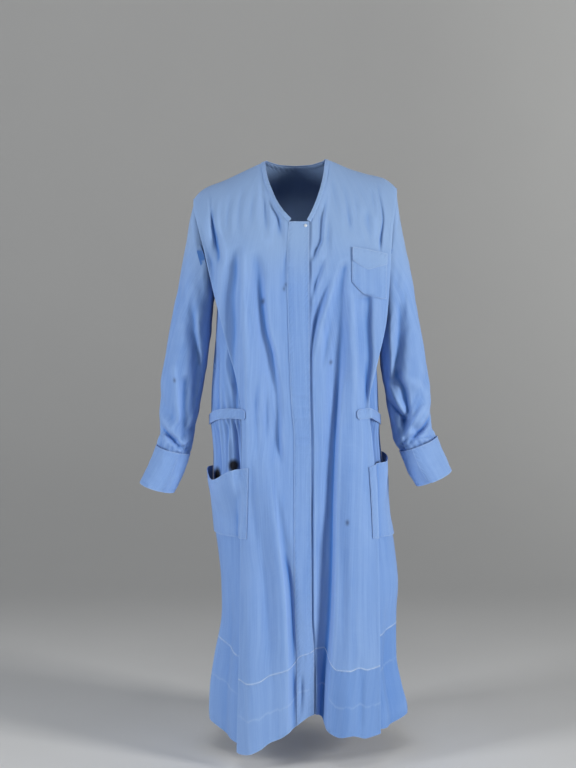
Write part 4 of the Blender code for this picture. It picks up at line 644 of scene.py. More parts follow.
def roll(x, z):
    # share of the full depth reached at a drop below the shoulder line
    out = clamp((abs(x) - neckHalf) / (shoulderHalf - neckHalf), 0.0, 1.0)
    share = clamp((shoulder(x) - z) / mix(rollNeck, rollTip, out), 0.0, 1.0)
    return (1.0 - (1.0 - share) ** 2) ** mix(0.75, 0.55, out)


def bow(x, middle, half, depth, square):
    share = min(abs(x - middle) / half, 0.999)
    return depth * (1.0 - share ** square) ** (1.0 / square)


def frontPoint(side, x, z):
    base = bow(x, *(along(frontSection, z, k) for k in (1, 2, 3, 4)))
    folds = foldsAt(rightFolds if side < 0 else leftFolds, x, z)
    folds += foldsAt(rightCreases if side < 0 else leftCreases, x, z)
    return Vector((x, -(base + folds + rumple(x, z, side * 3.0)) * roll(x, z), z))


def frontNormal(side, x, z):
    across = frontPoint(side, x + slopeStep, z) - frontPoint(side, x - slopeStep, z)
    normal = across.cross(frontPoint(side, x, z - slopeStep) - frontPoint(side, x, z)).normalized()
    return -normal if normal.y > 0.0 else normal


def bodyRing(angle, z, out=0.0):
    # angle 0 is left, 90 front, 180 right, 270 back
    right, left, square = along(bodySection, z, 1), along(bodySection, z, 2), along(bodySection, z, 5)
    middle, half = (right + left) / 2.0, (left - right) / 2.0
    turn = math.radians(angle)
    c, s = math.cos(turn), math.sin(turn)
    depth = along(bodySection, z, 3 if s > 0.0 else 4)
    reach = (abs(c / half) ** square + abs(s / depth) ** square) ** (-1.0 / square)
    return Vector((middle + (reach + out) * c, -(reach + out) * s, z))


def ringAngle(x, z, front):
    right, left = along(bodySection, z, 1), along(bodySection, z, 2)
    middle, half = (right + left) / 2.0, (left - right) / 2.0
    depth = bow(x, middle, half, along(bodySection, z, 3 if front else 4), along(bodySection, z, 5))
    angle = math.degrees(math.atan2(depth if front else -depth, x - middle))
    return angle if angle > -90.0 else angle + 360.0


def pleatX(side, z):
    return along(pleatRight if side < 0 else pleatLeft, z)


seamShare, sideStart = 0.93, 0.026
sideClearance = Table((0.000, 0.0085), (0.010, 0.0064), (sideStart, 0.0019))


def seamX(side, z):
    right, left = along(bodySection, z, 1), along(bodySection, z, 2)
    return (right + left) / 2.0 + side * seamShare * (left - right) / 2.0


def sidePoint(side, u, z, out=0.0):
    # u 0 is the hidden front edge behind the pleat, u 1 the seam at the side of the back
    first = ringAngle(pleatX(side, z) - side * sideStart, z, True)
    last = ringAngle(seamX(side, z), z, False)
    if side > 0 and last > 180.0:
        last -= 360.0
    point = bodyRing(mix(first, last, u), z, out)
    edge = pleatX(side, z)
    if side * point.x < side * edge + 0.02 and point.y < 0.0:
        inside = clamp(side * (edge - point.x), 0.0, sideStart)
        atX = side * min(side * point.x, side * edge)
        point.y = max(point.y, frontPoint(side, atX, z).y + along(sideClearance, inside))
    return point


def outwards(point):
    return Vector((point.x, point.y * 1.3, 0.0)).normalized()


def waistZ(y):
    return mix(waistFront, waistSide, ease((y + 0.10) / 0.10))


def backPoint(w, z):
    # w -1 is the right edge, 1 the left edge
    if z > backArmhole.keys[0]:
        x = w * along(backArmhole, z)
        depth = bow(x, 0.0, *(along(backTopSection, z, k) for k in (1, 2, 3)))
        return Vector((x, depth * roll(x, z), z))
    x = mix(seamX(-1, z), seamX(1, z), (w + 1.0) / 2.0)
    right, left = along(bodySection, z, 1), along(bodySection, z, 2)
    depth = bow(x, (right + left) / 2.0, (left - right) / 2.0, along(bodySection, z, 4), along(bodySection, z, 5))
    return Vector((x, depth, z))


# Fronts. Each runs from the middle of the dress to the pleat edge and back under it.
frontPanel = {
    "columns": 132, "rows": 360, "wall": 0.0012, "tuck": 0.0100, "tuckRadius": 0.00225, "edgeInset": 0.0016,
    "stripShare": 18 / 132, "foldShare": 120 / 132, "turnShare": 128 / 132,
    "upperShare": 150 / 360, "upperFoot": -0.400, "middleShare": 306 / 360, "middleFoot": -0.980,
    "neckColumn": {-1: (31 / 102, 0.2836), 1: (24 / 102, 0.2201)}, "underlap": 0.034, "evenBelow": -0.330,
}


def frontTop(side, x):
    if abs(x) >= neckHalf and (x < 0) == (side < 0):
        return shoulder(x)
    rows = neckRight if side < 0 else neckLeft
    return rows.rows[0][1] if side * x < rows.keys[0] else along(rows, abs(x))


def frontX(side, u, z):
    look = frontPanel
    sewn, lapping = along(placketLine, z, 1), along(placketLine, z, 2)
    if u <= look["stripShare"]:
        t = u / look["stripShare"]
        return mix(lapping, sewn, t) if side < 0 else mix(lapping - look["underlap"], lapping + 0.0005, t)
    t = (min(u, look["foldShare"]) - look["stripShare"]) / (look["foldShare"] - look["stripShare"])
    low, high = look["neckColumn"][side]
    top = t * high / low if t < low else mix(high, 1.0, (t - low) / (1.0 - low))
    share = mix(t, top, ease((z - look["evenBelow"]) / 0.28))
    inner = sewn if side < 0 else lapping + 0.0005
    return mix(inner, pleatX(side, z) - side * look["edgeInset"], share)


@lru_cache(maxsize=None)
def columnEnds(side, u):
    low, high = -0.20, 0.03
    for _ in range(40):
        z = (low + high) / 2.0
        if z < frontTop(side, frontX(side, u, z)):
            low = z
        else:
            high = z
    foot = -1.12
    for _ in range(20):
        foot = along(frontHem, frontX(side, u, foot))
    return low, foot


def frontSheet(side):
    look = frontPanel

    def pointAt(u, v):
        top, foot = columnEnds(side, min(u, look["foldShare"]))
        if v <= look["upperShare"]:
            z = mix(top, look["upperFoot"], (v / look["upperShare"]) ** 1.3)
        elif v <= look["middleShare"]:
            z = mix(look["upperFoot"], look["middleFoot"],
                    (v - look["upperShare"]) / (look["middleShare"] - look["upperShare"]))
        else:
            z = mix(look["middleFoot"], foot, (v - look["middleShare"]) / (1.0 - look["middleShare"]))
        x = frontX(side, u, z)
        if u > look["foldShare"]:
            radius, edge = look["tuckRadius"], pleatX(side, z)
            if u <= look["turnShare"]:
                turn = math.pi * (u - look["foldShare"]) / (look["turnShare"] - look["foldShare"])
                inward = look["edgeInset"] * (1.0 - math.sin(turn))
                depth = radius * (1.0 - math.cos(turn))
            else:
                inward = mix(look["edgeInset"], look["tuck"], (u - look["turnShare"]) / (1.0 - look["turnShare"]))
                depth = radius * 2.0
            x = edge - side * inward
            normal = frontNormal(side, x, z)
            if v == 0.0:
                normal = Vector((normal.x, 0.0, normal.z)).normalized()
            point = frontPoint(side, x, z) - normal * depth
        else:
            point = frontPoint(side, x, z)
            if side > 0:
                lapping = along(placketLine, z, 2)
                under = frontPoint(-1, min(x, lapping), z).y + lapDepth
                point.y = under if x <= lapping else mix(under, point.y, ease((x - lapping) / 0.009))
        if v == 0.0 and abs(point.x) >= neckHalf - 0.001 and point.z > -0.09:
            point.y = -seamGap * 0.6
        return point

    return pointAt


def frontHemAt(point):
    return point.z - along(hemSewing, point.x)


for side, word in ((-1, "right"), (1, "left")):
    look = dict(frontPanel, finish=cotton("front_" + word, side * 1.7, True, True), slot=f"cotton_{word}_front",
                replaces="front_" + word, grain=18 / 132)
    clothPanel("cloth_front_" + word, look, frontSheet(side), frontHemAt, flip=side < 0)
print("fronts made")

# The fly strip that is sewn down the right front, over the hidden buttons.
flyStrip = {
    "columns": 24, "rows": 340, "wall": 0.0008, "lift": 0.0017, "sewnLift": 0.0010, "top": -0.1155,
    "finish": cotton("placket", 5.0, True, True), "slot": "cotton_placket", "replaces": "fly_placket",
    "barTop": -0.537, "barFoot": -0.549, "grain": 0.0,
}


def flyPoint(u, v):
    # u 0 is the sewn edge, u 1 the lapping edge
    x = 0.0
    z = flyStrip["top"]
    for _ in range(4):
        x = mix(along(placketLine, z, 1), along(placketLine, z, 2), u)
        z = mix(flyStrip["top"], along(frontHem, x), v)
    lift = mix(flyStrip["sewnLift"], flyStrip["lift"], ease(u * 5.0))
    creases = 0.0009 * hump(z, -0.455, 0.004) + 0.0008 * hump(z, -0.478, 0.003) + 0.0007 * hump(z, -0.500, 0.004)
    creases += 0.0010 * hump(z, flyStrip["barTop"], 0.0025) + 0.0007 * hump(z, flyStrip["barFoot"] - 0.006, 0.004)
    return frontPoint(-1, x, z) + frontNormal(-1, x, z) * (lift + creases * ease(u * 4.0) * ease((1.0 - u) * 5.0))


clothPanel("cloth_placket", flyStrip, flyPoint, frontHemAt)
print("placket made")

# Side panels: a plain bodice part and a gathered skirt part, both behind the pleat.
sideBodice = {"columns": 110, "rows": 60, "wall": 0.0012, "gathers": 14, "depth": 0.0042}
sideSkirt = {"columns": 170, "rows": 110, "wall": 0.0012, "gathers": 20, "depth": 0.0062, "hemBand": {-1: 0.172, 1: 0.186}}
underarm = Table((0.0, -0.217), (0.25, -0.249), (0.50, -0.269), (0.72, -0.2725), (1.0, -0.264))
# soft folds that fall from the gathers: place round the panel, half width, depth at the hem
sideFolds = ((0.30, 0.09, -0.010), (0.52, 0.08, 0.008), (0.74, 0.09, -0.009))


# single folds seen from the front among the gathers. Each row: height, x, widths towards -X and +X, stand
gatherFolds = {
    -1: (
        Table((-0.410, -0.120, 0.0040, 0.0040, 0.0000), (-0.450, -0.121, 0.0045, 0.0045, -0.0060),
              (-0.490, -0.122, 0.0040, 0.0040, -0.0070), (-0.512, -0.122, 0.0030, 0.0030, 0.0000)),
        Table((-0.350, -0.158, 0.0060, 0.0060, 0.0000), (-0.420, -0.160, 0.0070, 0.0060, -0.0080),
              (-0.480, -0.161, 0.0070, 0.0060, -0.0080), (-0.512, -0.160, 0.0050, 0.0050, 0.0000)),
        Table((-0.512, -0.125, 0.0030, 0.0030, 0.0000), (-0.530, -0.1245, 0.0040, 0.0040, -0.0100),
              (-0.570, -0.1230, 0.0055, 0.0050, -0.0150), (-0.620, -0.1210, 0.0070, 0.0060, -0.0140),
              (-0.740, -0.1200, 0.0080, 0.0080, 0.0000)),
        Table((-0.512, -0.160, 0.0030, 0.0030, 0.0000), (-0.540, -0.1590, 0.0040, 0.0040, -0.0070),
              (-0.590, -0.1570, 0.0050, 0.0060, -0.0100), (-0.680, -0.1560, 0.0080, 0.0080, 0.0000)),
        Table((-0.512, -0.139, 0.0020, 0.0020, 0.0000), (-0.525, -0.1385, 0.0025, 0.0025, -0.0050),
              (-0.560, -0.1360, 0.0040, 0.0040, 0.0000)),
    ),
    1: (
        Table((-0.512, 0.158, 0.0030, 0.0030, 0.0000), (-0.540, 0.1600, 0.0040, 0.0040, -0.0080),
              (-0.600, 0.1620, 0.0060, 0.0060, -0.0090), (-0.700, 0.1660, 0.0080, 0.0080, 0.0000)),
        Table((-0.400, 0.158, 0.0040, 0.0040, 0.0000), (-0.460, 0.1570, 0.0050, 0.0050, -0.0060),
              (-0.512, 0.1560, 0.0030, 0.0030, 0.0000)),
    ),
}


def gatherFold(side, point):
    return foldsAt(gatherFolds[side], point.x, point.z) if point.y < -0.02 else 0.0


def gather(u, waves, deep, spread):
    uneven = 0.75 + 0.25 * math.sin(5.0 * u + spread) + 0.18 * math.sin(17.0 * u + spread * 2.0)
    turn = 2.0 * math.pi * waves * u + 0.5 * math.sin(9.0 * u + spread)
    return -deep * uneven * (1.0 - math.cos(turn)) / 2.0


def sideRumple(side, u, z):
    return -0.0011 * (1.0 + noise.noise(Vector((u * 7.0, z * 9.0, side * 5.0))))


def drawnIn(point, beside, u):
    # the last column stands a little inside the seam
    return point.lerp(beside, clamp(seamDraw / max((beside - point).length, 1e-6), 0.0, 1.0)) if u in (0.0, 1.0) else point


def sideBodiceSheet(side):
    def place(u, v):
        top = along(underarm, u)
        foot = waistZ(sidePoint(side, u, -0.50).y) + seamGap
        z = mix(top, foot, v)
        middle = sidePoint(side, u, z)
        calm = ease(u / 0.15) * ease((1.0 - u) / 0.1)
        wave = gather(u, sideBodice["gathers"], sideBodice["depth"] * ease((v - 0.70) / 0.30), 1.0)
        wave += sideRumple(side, u, z) * ease(v / 0.08) * ease((1 - v) / 0.08) + gatherFold(side, middle)
        return middle + outwards(middle) * wave * calm

    def pointAt(u, v):
        inner = 0.01 if u == 0.0 else 0.99
        return drawnIn(place(u, v), place(inner, v), u)

    return pointAt


def sideSkirtSheet(side):
    def place(u, v):
        top = waistZ(sidePoint(side, u, -0.52).y) - seamGap
        foot = along(sideHem, sidePoint(side, u, -1.12).y, 1 if side < 0 else 2)
        if u < 0.2:
            foot = mix(along(frontHem, pleatX(side, -1.13)) + 0.003, foot, ease(u / 0.2))
        z = mix(top, foot, v ** 1.15)
        middle = sidePoint(side, u, z)
        drop = top - z
        deep = sideSkirt["depth"] * (0.5 + 0.5 * ease(drop / 0.02)) * (1.0 - ease((drop - 0.04) / 0.17))
        wave = gather(u, sideSkirt["gathers"], deep, 2.0)
        wave += 0.8 * gather(u, sideSkirt["gathers"] * 0.35, deep * ease(drop / 0.05), 5.0)
        soft = sum(depth * hump(u, spot, wide) for spot, wide, depth in sideFolds)
        wave += soft * ease((drop - 0.26) / 0.30) + sideRumple(side, u, z) * ease(drop / 0.03) + gatherFold(side, middle)
        wave *= 1.0 - 0.96 * min(1.0, 1.3 * hump(u, 0.64, 0.13)) * min(1.0, 1.4 * hump(z, -0.66, 0.09))
        return middle + outwards(middle) * wave * ease(u / 0.10) * ease((1.0 - u) / 0.08)

    def pointAt(u, v):
        inner = 0.01 if u == 0.0 else 0.99
        return drawnIn(place(u, v), place(inner, v), u)

    return pointAt


def sideHemAt(side):
    def distance(point):
        return point.z - (along(sideHem, point.y, 1 if side < 0 else 2) + sideSkirt["hemBand"][side])
    return distance


# painted shade: near-black patches painted on the side skirts behind the pocket mouths, where the cloth stands away and
# no light gets in: x, height, half width, half height
mouthShade = {
    -1: ((-0.1560, -0.6270, 0.0070, 0.0170), (-0.1220, -0.6010, 0.0110, 0.0130)),
    1: ((0.1660, -0.6060, 0.0060, 0.0080),),
}
# the side panels take painted shade through a value below nought, as they lie in shadow behind the pleats
for side, word in ((-1, "right"), (1, "left")):
    look = dict(sideBodice, finish=cotton("side_bodice_" + word, side * 2.3 + 9.0, fadeAndShade=-0.22), slot="cotton_side_bodice_" + word,
                replaces="side_bodice_" + word)
    clothPanel("cloth_side_bodice_" + word, look, sideBodiceSheet(side), flip=side < 0)
    look = dict(sideSkirt, finish=cotton("side_skirt_" + word, side * 3.1 + 12.0, True, False, -0.16, mouthShade[side]),
                slot="cotton_side_skirt_" + word, replaces="side_skirt_" + word)
    clothPanel("cloth_side_skirt_" + word, look, sideSkirtSheet(side), sideHemAt(side), flip=side < 0)
print("sides made")

# Back: a plain bodice and a lightly gathered skirt under the half belt.
backBodice = {"columns": 90, "rows": 96, "wall": 0.0012, "topHalf": 0.2035, "neckAt": 0.18, "gathers": 12,
              "depth": 0.0016, "finish": cotton("back_bodice", 21.0), "slot": "cotton_back_bodice",
              "replaces": "back_bodice"}
backSkirt = {"columns": 120, "rows": 120, "wall": 0.0012, "gathers": 13, "depth": 0.0030, "hemBand": 0.150,
             "finish": cotton("back_skirt", 25.0, True, False, 0.15), "slot": "cotton_back_skirt",
             "replaces": "back_skirt"}
# place across, half width, depth at the hem
backFolds = ((-0.62, 0.14, -0.012), (-0.22, 0.13, 0.010), (0.20, 0.13, -0.010), (0.60, 0.14, 0.010))
# creases of the back bodice: height, x, width towards -X, width towards +X, how far the cloth stands out
backCreases = (
    Table((-0.060, -0.120, 0.012, 0.012, 0.000), (-0.140, -0.112, 0.014, 0.014, -0.004),
          (-0.260, -0.100, 0.016, 0.016, 0.000)),
    Table((-0.060, 0.116, 0.012, 0.012, 0.000), (-0.150, 0.110, 0.014, 0.014, -0.004),
          (-0.240, 0.104, 0.016, 0.016, 0.000)),
    Table((-0.120, -0.040, 0.016, 0.016, 0.000), (-0.260, -0.046, 0.018, 0.018, -0.004),
          (-0.420, -0.050, 0.016, 0.016, -0.002), (-0.500, -0.050, 0.016, 0.016, 0.000)),
    Table((-0.160, 0.052, 0.016, 0.016, 0.000), (-0.300, 0.050, 0.018, 0.018, -0.005),
          (-0.500, 0.044, 0.016, 0.016, 0.000)),
    Table((-0.240, 0.096, 0.012, 0.012, 0.000), (-0.360, 0.100, 0.014, 0.012, 0.004),
          (-0.500, 0.098, 0.014, 0.014, 0.000)),
    Table((-0.260, -0.098, 0.012, 0.012, 0.000), (-0.380, -0.104, 0.014, 0.012, 0.004),
          (-0.500, -0.100, 0.014, 0.014, 0.000)),
)


def backTop(w):
    x = w * backBodice["topHalf"]
    return shoulder(x) if abs(x) >= neckHalf else along(neckBack, abs(x))


def backBodiceSheet(u, v):
    # columns at the top are spread so that one meets each neck point
    even = 1.0 - 2.0 * u
    neck = neckHalf / backBodice["topHalf"]
    spread = abs(even)
    limit = backBodice["neckAt"] * 2.0
    high = spread * neck / limit if spread < limit else mix(neck, 1.0, (spread - limit) / (1.0 - limit))
    high = math.copysign(high, even)
    top = backTop(high)
    z = mix(top, waistZ(backPoint(even, -0.50).y) + seamGap, v ** 1.35)
    w = mix(high, even, ease(v ** 1.35 / 0.75))
    if u in (0.0, 1.0):
        w *= 1.0 - seamDraw / 0.15
    point = backPoint(w, z)
    if v == 0.0 and abs(high) >= neck - 0.001:
        return Vector((high * backBodice["topHalf"], seamGap * 0.6, z))
    calm = ease(v / 0.05) * ease((1.0 - abs(w)) / 0.08)
    wave = gather(u, backBodice["gathers"], backBodice["depth"] * ease((v - 0.88) / 0.12), 3.0)
    point.y += (foldsAt(backCreases, point.x, z) + rumple(point.x, z, 31.0) * ease((1.0 - v) / 0.06) + wave) * calm
    return point


def backSkirtSheet(u, v):
    w = 1.0 - 2.0 * u
    top = waistZ(backPoint(w, -0.52).y) - seamGap
    low = backPoint(w, -1.12)
    foot = mix(along(sideHem, low.y, 1), along(sideHem, low.y, 2), (w + 1.0) / 2.0)
    z = mix(top, foot, v ** 1.15)
    drop = top - z
    point = backPoint(w * (1.0 - seamDraw / 0.16) if u in (0.0, 1.0) else w, z)
    soft = sum(depth * hump(w, spot, wide) for spot, wide, depth in backFolds)
    deep = backSkirt["depth"] * (0.5 + 0.5 * ease(drop / 0.02)) * (1.0 - ease((drop - 0.04) / 0.20))
    wave = gather(u, backSkirt["gathers"], deep, 4.0) + 0.4 * gather(u, backSkirt["gathers"] * 2, deep * (1.0 - ease(drop / 0.06)), 1.0)
    calm = ease((1.0 - abs(w)) / 0.15)
    point.y += (soft * ease((v - 0.05) / 0.8) + wave + (rumple(point.x, z, 41.0) - 0.0012) * ease(drop / 0.03)) * calm
    return point


def backHemAt(point):
    return point.z - (along(sideHem, point.y, 1) + backSkirt["hemBand"])


clothPanel("cloth_back_bodice", backBodice, backBodiceSheet)
clothPanel("cloth_back_skirt", backSkirt, backSkirtSheet, backHemAt)
print("back made")

# Sleeves. Rows: place, outer x, outer height, inner x, inner height, middle y, half depth (x outwards).
sleeve = {
    "columns": 96, "rows": 150, "wall": 0.0012, "gathers": 6, "gatherDepth": 0.0024, "fineGathers": 19,
    "right": Table(
        (0, 0.2030, -0.0840, 0.1605, -0.2685, 0.004, 0.056), (1, 0.2110, -0.1150, 0.1645, -0.2850, 0.004, 0.062),
        (2, 0.2180, -0.1580, 0.1660, -0.3050, 0.004, 0.065), (3, 0.2260, -0.2010, 0.1675, -0.3250, 0.003, 0.065),
        (4, 0.2340, -0.2460, 0.1690, -0.3450, 0.002, 0.064), (5, 0.2440, -0.2900, 0.1720, -0.3680, 0.001, 0.062),
        (6, 0.2530, -0.3340, 0.1760, -0.3980, 0.000, 0.060), (7, 0.2610, -0.3780, 0.1815, -0.4300, -0.001, 0.058),
        (8, 0.2680, -0.4200, 0.1875, -0.4620, -0.004, 0.056), (9, 0.2730, -0.4650, 0.1935, -0.4940, -0.008, 0.053),
        (10, 0.2740, -0.5080, 0.2000, -0.5270, -0.013, 0.049), (11, 0.2720, -0.5400, 0.2055, -0.5550, -0.019, 0.044),
        (12, 0.2745, -0.5600, 0.2130, -0.5760, -0.024, 0.036), (13, 0.2765, -0.5725, 0.2175, -0.5875, -0.027, 0.0315)),
    "left": Table(
        (0, 0.2035, -0.0640, 0.1635, -0.2685, 0.004, 0.056), (1, 0.2090, -0.1030, 0.1650, -0.2850, 0.004, 0.062),
        (2, 0.2190, -0.1540, 0.1665, -0.3050, 0.004, 0.065), (3, 0.2280, -0.2010, 0.1675, -0.3250, 0.003, 0.065),
        (4, 0.2370, -0.2460, 0.1690, -0.3450, 0.002, 0.064), (5, 0.2455, -0.2900, 0.1700, -0.3680, 0.001, 0.062),
        (6, 0.2530, -0.3340, 0.1715, -0.3980, 0.000, 0.060), (7, 0.2610, -0.3780, 0.1745, -0.4300, -0.001, 0.058),
        (8, 0.2690, -0.4200, 0.1800, -0.4620, -0.004, 0.056), (9, 0.2745, -0.4650, 0.1860, -0.4940, -0.008, 0.053),
        (10, 0.2760, -0.5050, 0.1930, -0.5270, -0.014, 0.049), (11, 0.2750, -0.5300, 0.2000, -0.5540, -0.021, 0.044),
        (12, 0.2790, -0.5450, 0.2095, -0.5710, -0.027, 0.036), (13, 0.2825, -0.5555, 0.2170, -0.5822, -0.030, 0.0315)),
}
# front armhole edge, hidden behind the pleat: share of the way down, x outwards, y
armholeFront = Table(
    (0.00, 0.2030, 0.000), (0.15, 0.189, -0.026), (0.35, 0.173, -0.042), (0.62, 0.161, -0.048),
    (0.86, 0.158, -0.034), (1.00, 0.160, 0.004))
# creases: place, angle (90 is the front), slope, half length in place, half span in degrees, depth
sleeveCreases = {
    "right": (
        (9.6, 60.0, 0.010, 0.55, 60.0, -0.0060), (10.6, 130.0, -0.012, 0.50, 50.0, -0.0050),
        (6.0, 100.0, 0.020, 1.10, 55.0, -0.0045), (8.0, 40.0, -0.018, 0.80, 50.0, 0.0040),
        (11.3, 75.0, 0.014, 0.22, 34.0, -0.0034), (11.7, 120.0, -0.010, 0.20, 30.0, -0.0030),
        (10.9, 30.0, -0.012, 0.25, 32.0, -0.0030), (4.6, 60.0, 0.022, 0.60, 46.0, -0.0024),
        (7.2, 250.0, 0.014, 0.60, 50.0, -0.0050), (9.8, 290.0, -0.016, 0.50, 50.0, -0.0050),
        (3.0, 110.0, -0.030, 0.50, 40.0, -0.0022)),
    "left": (
        (9.0, 70.0, 0.020, 0.50, 55.0, -0.0085), (9.9, 110.0, -0.022, 0.50, 60.0, -0.0080),
        (10.6, 50.0, 0.015, 0.45, 50.0, -0.0060), (6.2, 110.0, 0.020, 1.10, 50.0, -0.0045),
        (11.2, 110.0, 0.012, 0.24, 36.0, -0.0040), (11.6, 60.0, -0.012, 0.20, 32.0, -0.0034),
        (8.3, 60.0, -0.018, 0.32, 40.0, 0.0040), (9.5, 90.0, 0.024, 0.22, 36.0, 0.0044),
        (7.0, 250.0, -0.014, 0.60, 50.0, -0.0050), (9.6, 280.0, 0.016, 0.50, 50.0, -0.0055),
        (3.2, 80.0, 0.030, 0.50, 40.0, -0.0022)),
}


# folds seen from the front. Each row: height, x, width towards -X, width towards +X, how far the cloth stands out
sleeveFolds = {
    "right": (
        Table((-0.100, -0.202, 0.0060, 0.0060, 0.0000), (-0.124, -0.206, 0.0060, 0.0060, -0.0040),
              (-0.163, -0.213, 0.0060, 0.0070, -0.0070), (-0.217, -0.223, 0.0060, 0.0080, -0.0070),
              (-0.272, -0.232, 0.0060, 0.0080, -0.0070), (-0.332, -0.243, 0.0060, 0.0080, -0.0070),
              (-0.415, -0.258, 0.0060, 0.0080, -0.0050), (-0.440, -0.262, 0.0060, 0.0080, 0.0000)),
        Table((-0.205, -0.197, 0.0080, 0.0080, 0.0000), (-0.240, -0.200, 0.0100, 0.0070, -0.0060),
              (-0.272, -0.203, 0.0120, 0.0070, -0.0130),
              (-0.331, -0.201, 0.0140, 0.0060, -0.0140), (-0.391, -0.196, 0.0120, 0.0060, -0.0110),
              (-0.441, -0.200, 0.0100, 0.0080, -0.0080), (-0.482, -0.206, 0.0080, 0.0080, -0.0060),
              (-0.515, -0.212, 0.0080, 0.0080, 0.0000)),
        Table((-0.400, -0.240, 0.0080, 0.0080, 0.0000), (-0.433, -0.238, 0.0080, 0.0060, 0.0060),
              (-0.472, -0.236, 0.0080, 0.0060, 0.0080), (-0.506, -0.234, 0.0080, 0.0060, 0.0070),
              (-0.528, -0.244, 0.0080, 0.0060, 0.0040), (-0.545, -0.250, 0.0080, 0.0060, 0.0000)),
        Table((-0.420, -0.219, 0.0050, 0.0070, 0.0000), (-0.441, -0.2215, 0.0050, 0.0080, -0.0080),
              (-0.500, -0.223, 0.0050, 0.0080, -0.0090), (-0.542, -0.224, 0.0050, 0.0070, -0.0070),
              (-0.560, -0.225, 0.0050, 0.0070, 0.0000)),
        Table((-0.530, -0.262, 0.0070, 0.0070, 0.0000), (-0.544, -0.253, 0.0070, 0.0070, -0.0080),
              (-0.558, -0.238, 0.0070, 0.0070, -0.0080), (-0.574, -0.222, 0.0070, 0.0070, -0.0050),
              (-0.584, -0.212, 0.0070, 0.0070, 0.0000)),
        Table((-0.512, -0.274, 0.0060, 0.0060, 0.0000), (-0.520, -0.270, 0.0060, 0.0060, -0.0060),
              (-0.536, -0.258, 0.0060, 0.0060, -0.0080), (-0.548, -0.246, 0.0060, 0.0060, -0.0060),
              (-0.556, -0.238, 0.0060, 0.0060, 0.0000))),
    "left": (
        Table((-0.200, 0.202, 0.0070, 0.0100, 0.0000), (-0.242, 0.206, 0.0070, 0.0120, -0.0080),
              (-0.272, 0.208, 0.0070, 0.0130, -0.0120),
              (-0.331, 0.208, 0.0070, 0.0140, -0.0130), (-0.381, 0.205, 0.0070, 0.0120, -0.0110),
              (-0.421, 0.201, 0.0070, 0.0100, -0.0080), (-0.450, 0.198, 0.0070, 0.0080, 0.0000)),
        Table((-0.220, 0.190, 0.0060, 0.0060, 0.0000), (-0.272, 0.194, 0.0060, 0.0050, 0.0040),
              (-0.331, 0.188, 0.0060, 0.0050, 0.0050), (-0.391, 0.191, 0.0060, 0.0050, 0.0040),
              (-0.430, 0.192, 0.0060, 0.0050, 0.0000)),
        Table((-0.405, 0.206, 0.0080, 0.0050, 0.0000), (-0.427, 0.208, 0.0100, 0.0040, -0.0100),
              (-0.4515, 0.219, 0.0110, 0.0040, -0.0120), (-0.472, 0.223, 0.0110, 0.0040, -0.0120),
              (-0.496, 0.226, 0.0090, 0.0040, -0.0080), (-0.510, 0.228, 0.0080, 0.0040, 0.0000)),
        Table((-0.470, 0.186, 0.0060, 0.0060, 0.0000), (-0.482, 0.195, 0.0060, 0.0060, -0.0080),
              (-0.496, 0.207, 0.0060, 0.0060, -0.0100), (-0.510, 0.219, 0.0060, 0.0060, -0.0100),
              (-0.548, 0.220, 0.0060, 0.0060, -0.0070), (-0.565, 0.218, 0.0060, 0.0060, 0.0000)),
        Table((-0.430, 0.182, 0.0070, 0.0070, 0.0000), (-0.4475, 0.189, 0.0070, 0.0070, 0.0060),
              (-0.472, 0.201, 0.0070, 0.0070, 0.0080), (-0.496, 0.213, 0.0070, 0.0070, 0.0060),
              (-0.512, 0.222, 0.0070, 0.0070, 0.0000)),
        Table((-0.480, 0.262, 0.0070, 0.0070, 0.0000), (-0.491, 0.253, 0.0070, 0.0070, 0.0070),
              (-0.512, 0.239, 0.0070, 0.0070, 0.0090), (-0.536, 0.224, 0.0070, 0.0070, 0.0080),
              (-0.558, 0.210, 0.0070, 0.0070, 0.0040), (-0.570, 0.203, 0.0070, 0.0070, 0.0000)),
        Table((-0.500, 0.278, 0.0060, 0.0060, 0.0000), (-0.512, 0.269, 0.0060, 0.0060, -0.0070),
              (-0.532, 0.2535, 0.0060, 0.0060, -0.0090), (-0.552, 0.234, 0.0060, 0.0060, -0.0080),
              (-0.568, 0.222, 0.0060, 0.0060, -0.0040), (-0.578, 0.214, 0.0060, 0.0060, 0.0000)),
        Table((-0.380, 0.258, 0.0060, 0.0050, 0.0000), (-0.402, 0.262, 0.0070, 0.0050, -0.0050),
              (-0.473, 0.272, 0.0070, 0.0050, -0.0060), (-0.511, 0.274, 0.0070, 0.0050, -0.0040),
              (-0.530, 0.274, 0.0060, 0.0050, 0.0000))),
}


def sectionSpokes(side, rows, place):
    outer = Vector((side * along(rows, place, 1), 0.0, along(rows, place, 2)))
    inner = Vector((side * along(rows, place, 3), 0.0, along(rows, place, 4)))
    middle = (outer + inner) / 2.0 + Vector((0.0, along(rows, place, 5), 0.0))
    return middle, (outer - inner) / 2.0, Vector((0.0, -along(rows, place, 6), 0.0))


def armholePoint(side, angle, rows):
    # angle 0 is the shoulder tip, 90 the front, 180 the underarm, 270 the back
    share = (1.0 - math.cos(math.radians(angle))) / 2.0
    z = mix(rows.rows[0][2], rows.rows[0][4], share)
    if angle <= 180.0:
        return Vector((side * along(armholeFront, share, 1), along(armholeFront, share, 2), z))
    edge = backPoint(side, max(z, -0.2615))
    point = Vector((edge.x + side * 0.0015, edge.y, z))
    if share > 0.80:
        down = ease((share - 0.80) / 0.20)
        point = point.lerp(Vector((side * rows.rows[0][3], 0.004, rows.rows[0][4])), down)
        point.x = side * max(side * point.x, 0.1475 + 0.0125 * down)
    if share < 0.10:
        point = point.lerp(Vector((side * rows.rows[0][1], 0.0, rows.rows[0][2])), ease((0.10 - share) / 0.10))
    return point


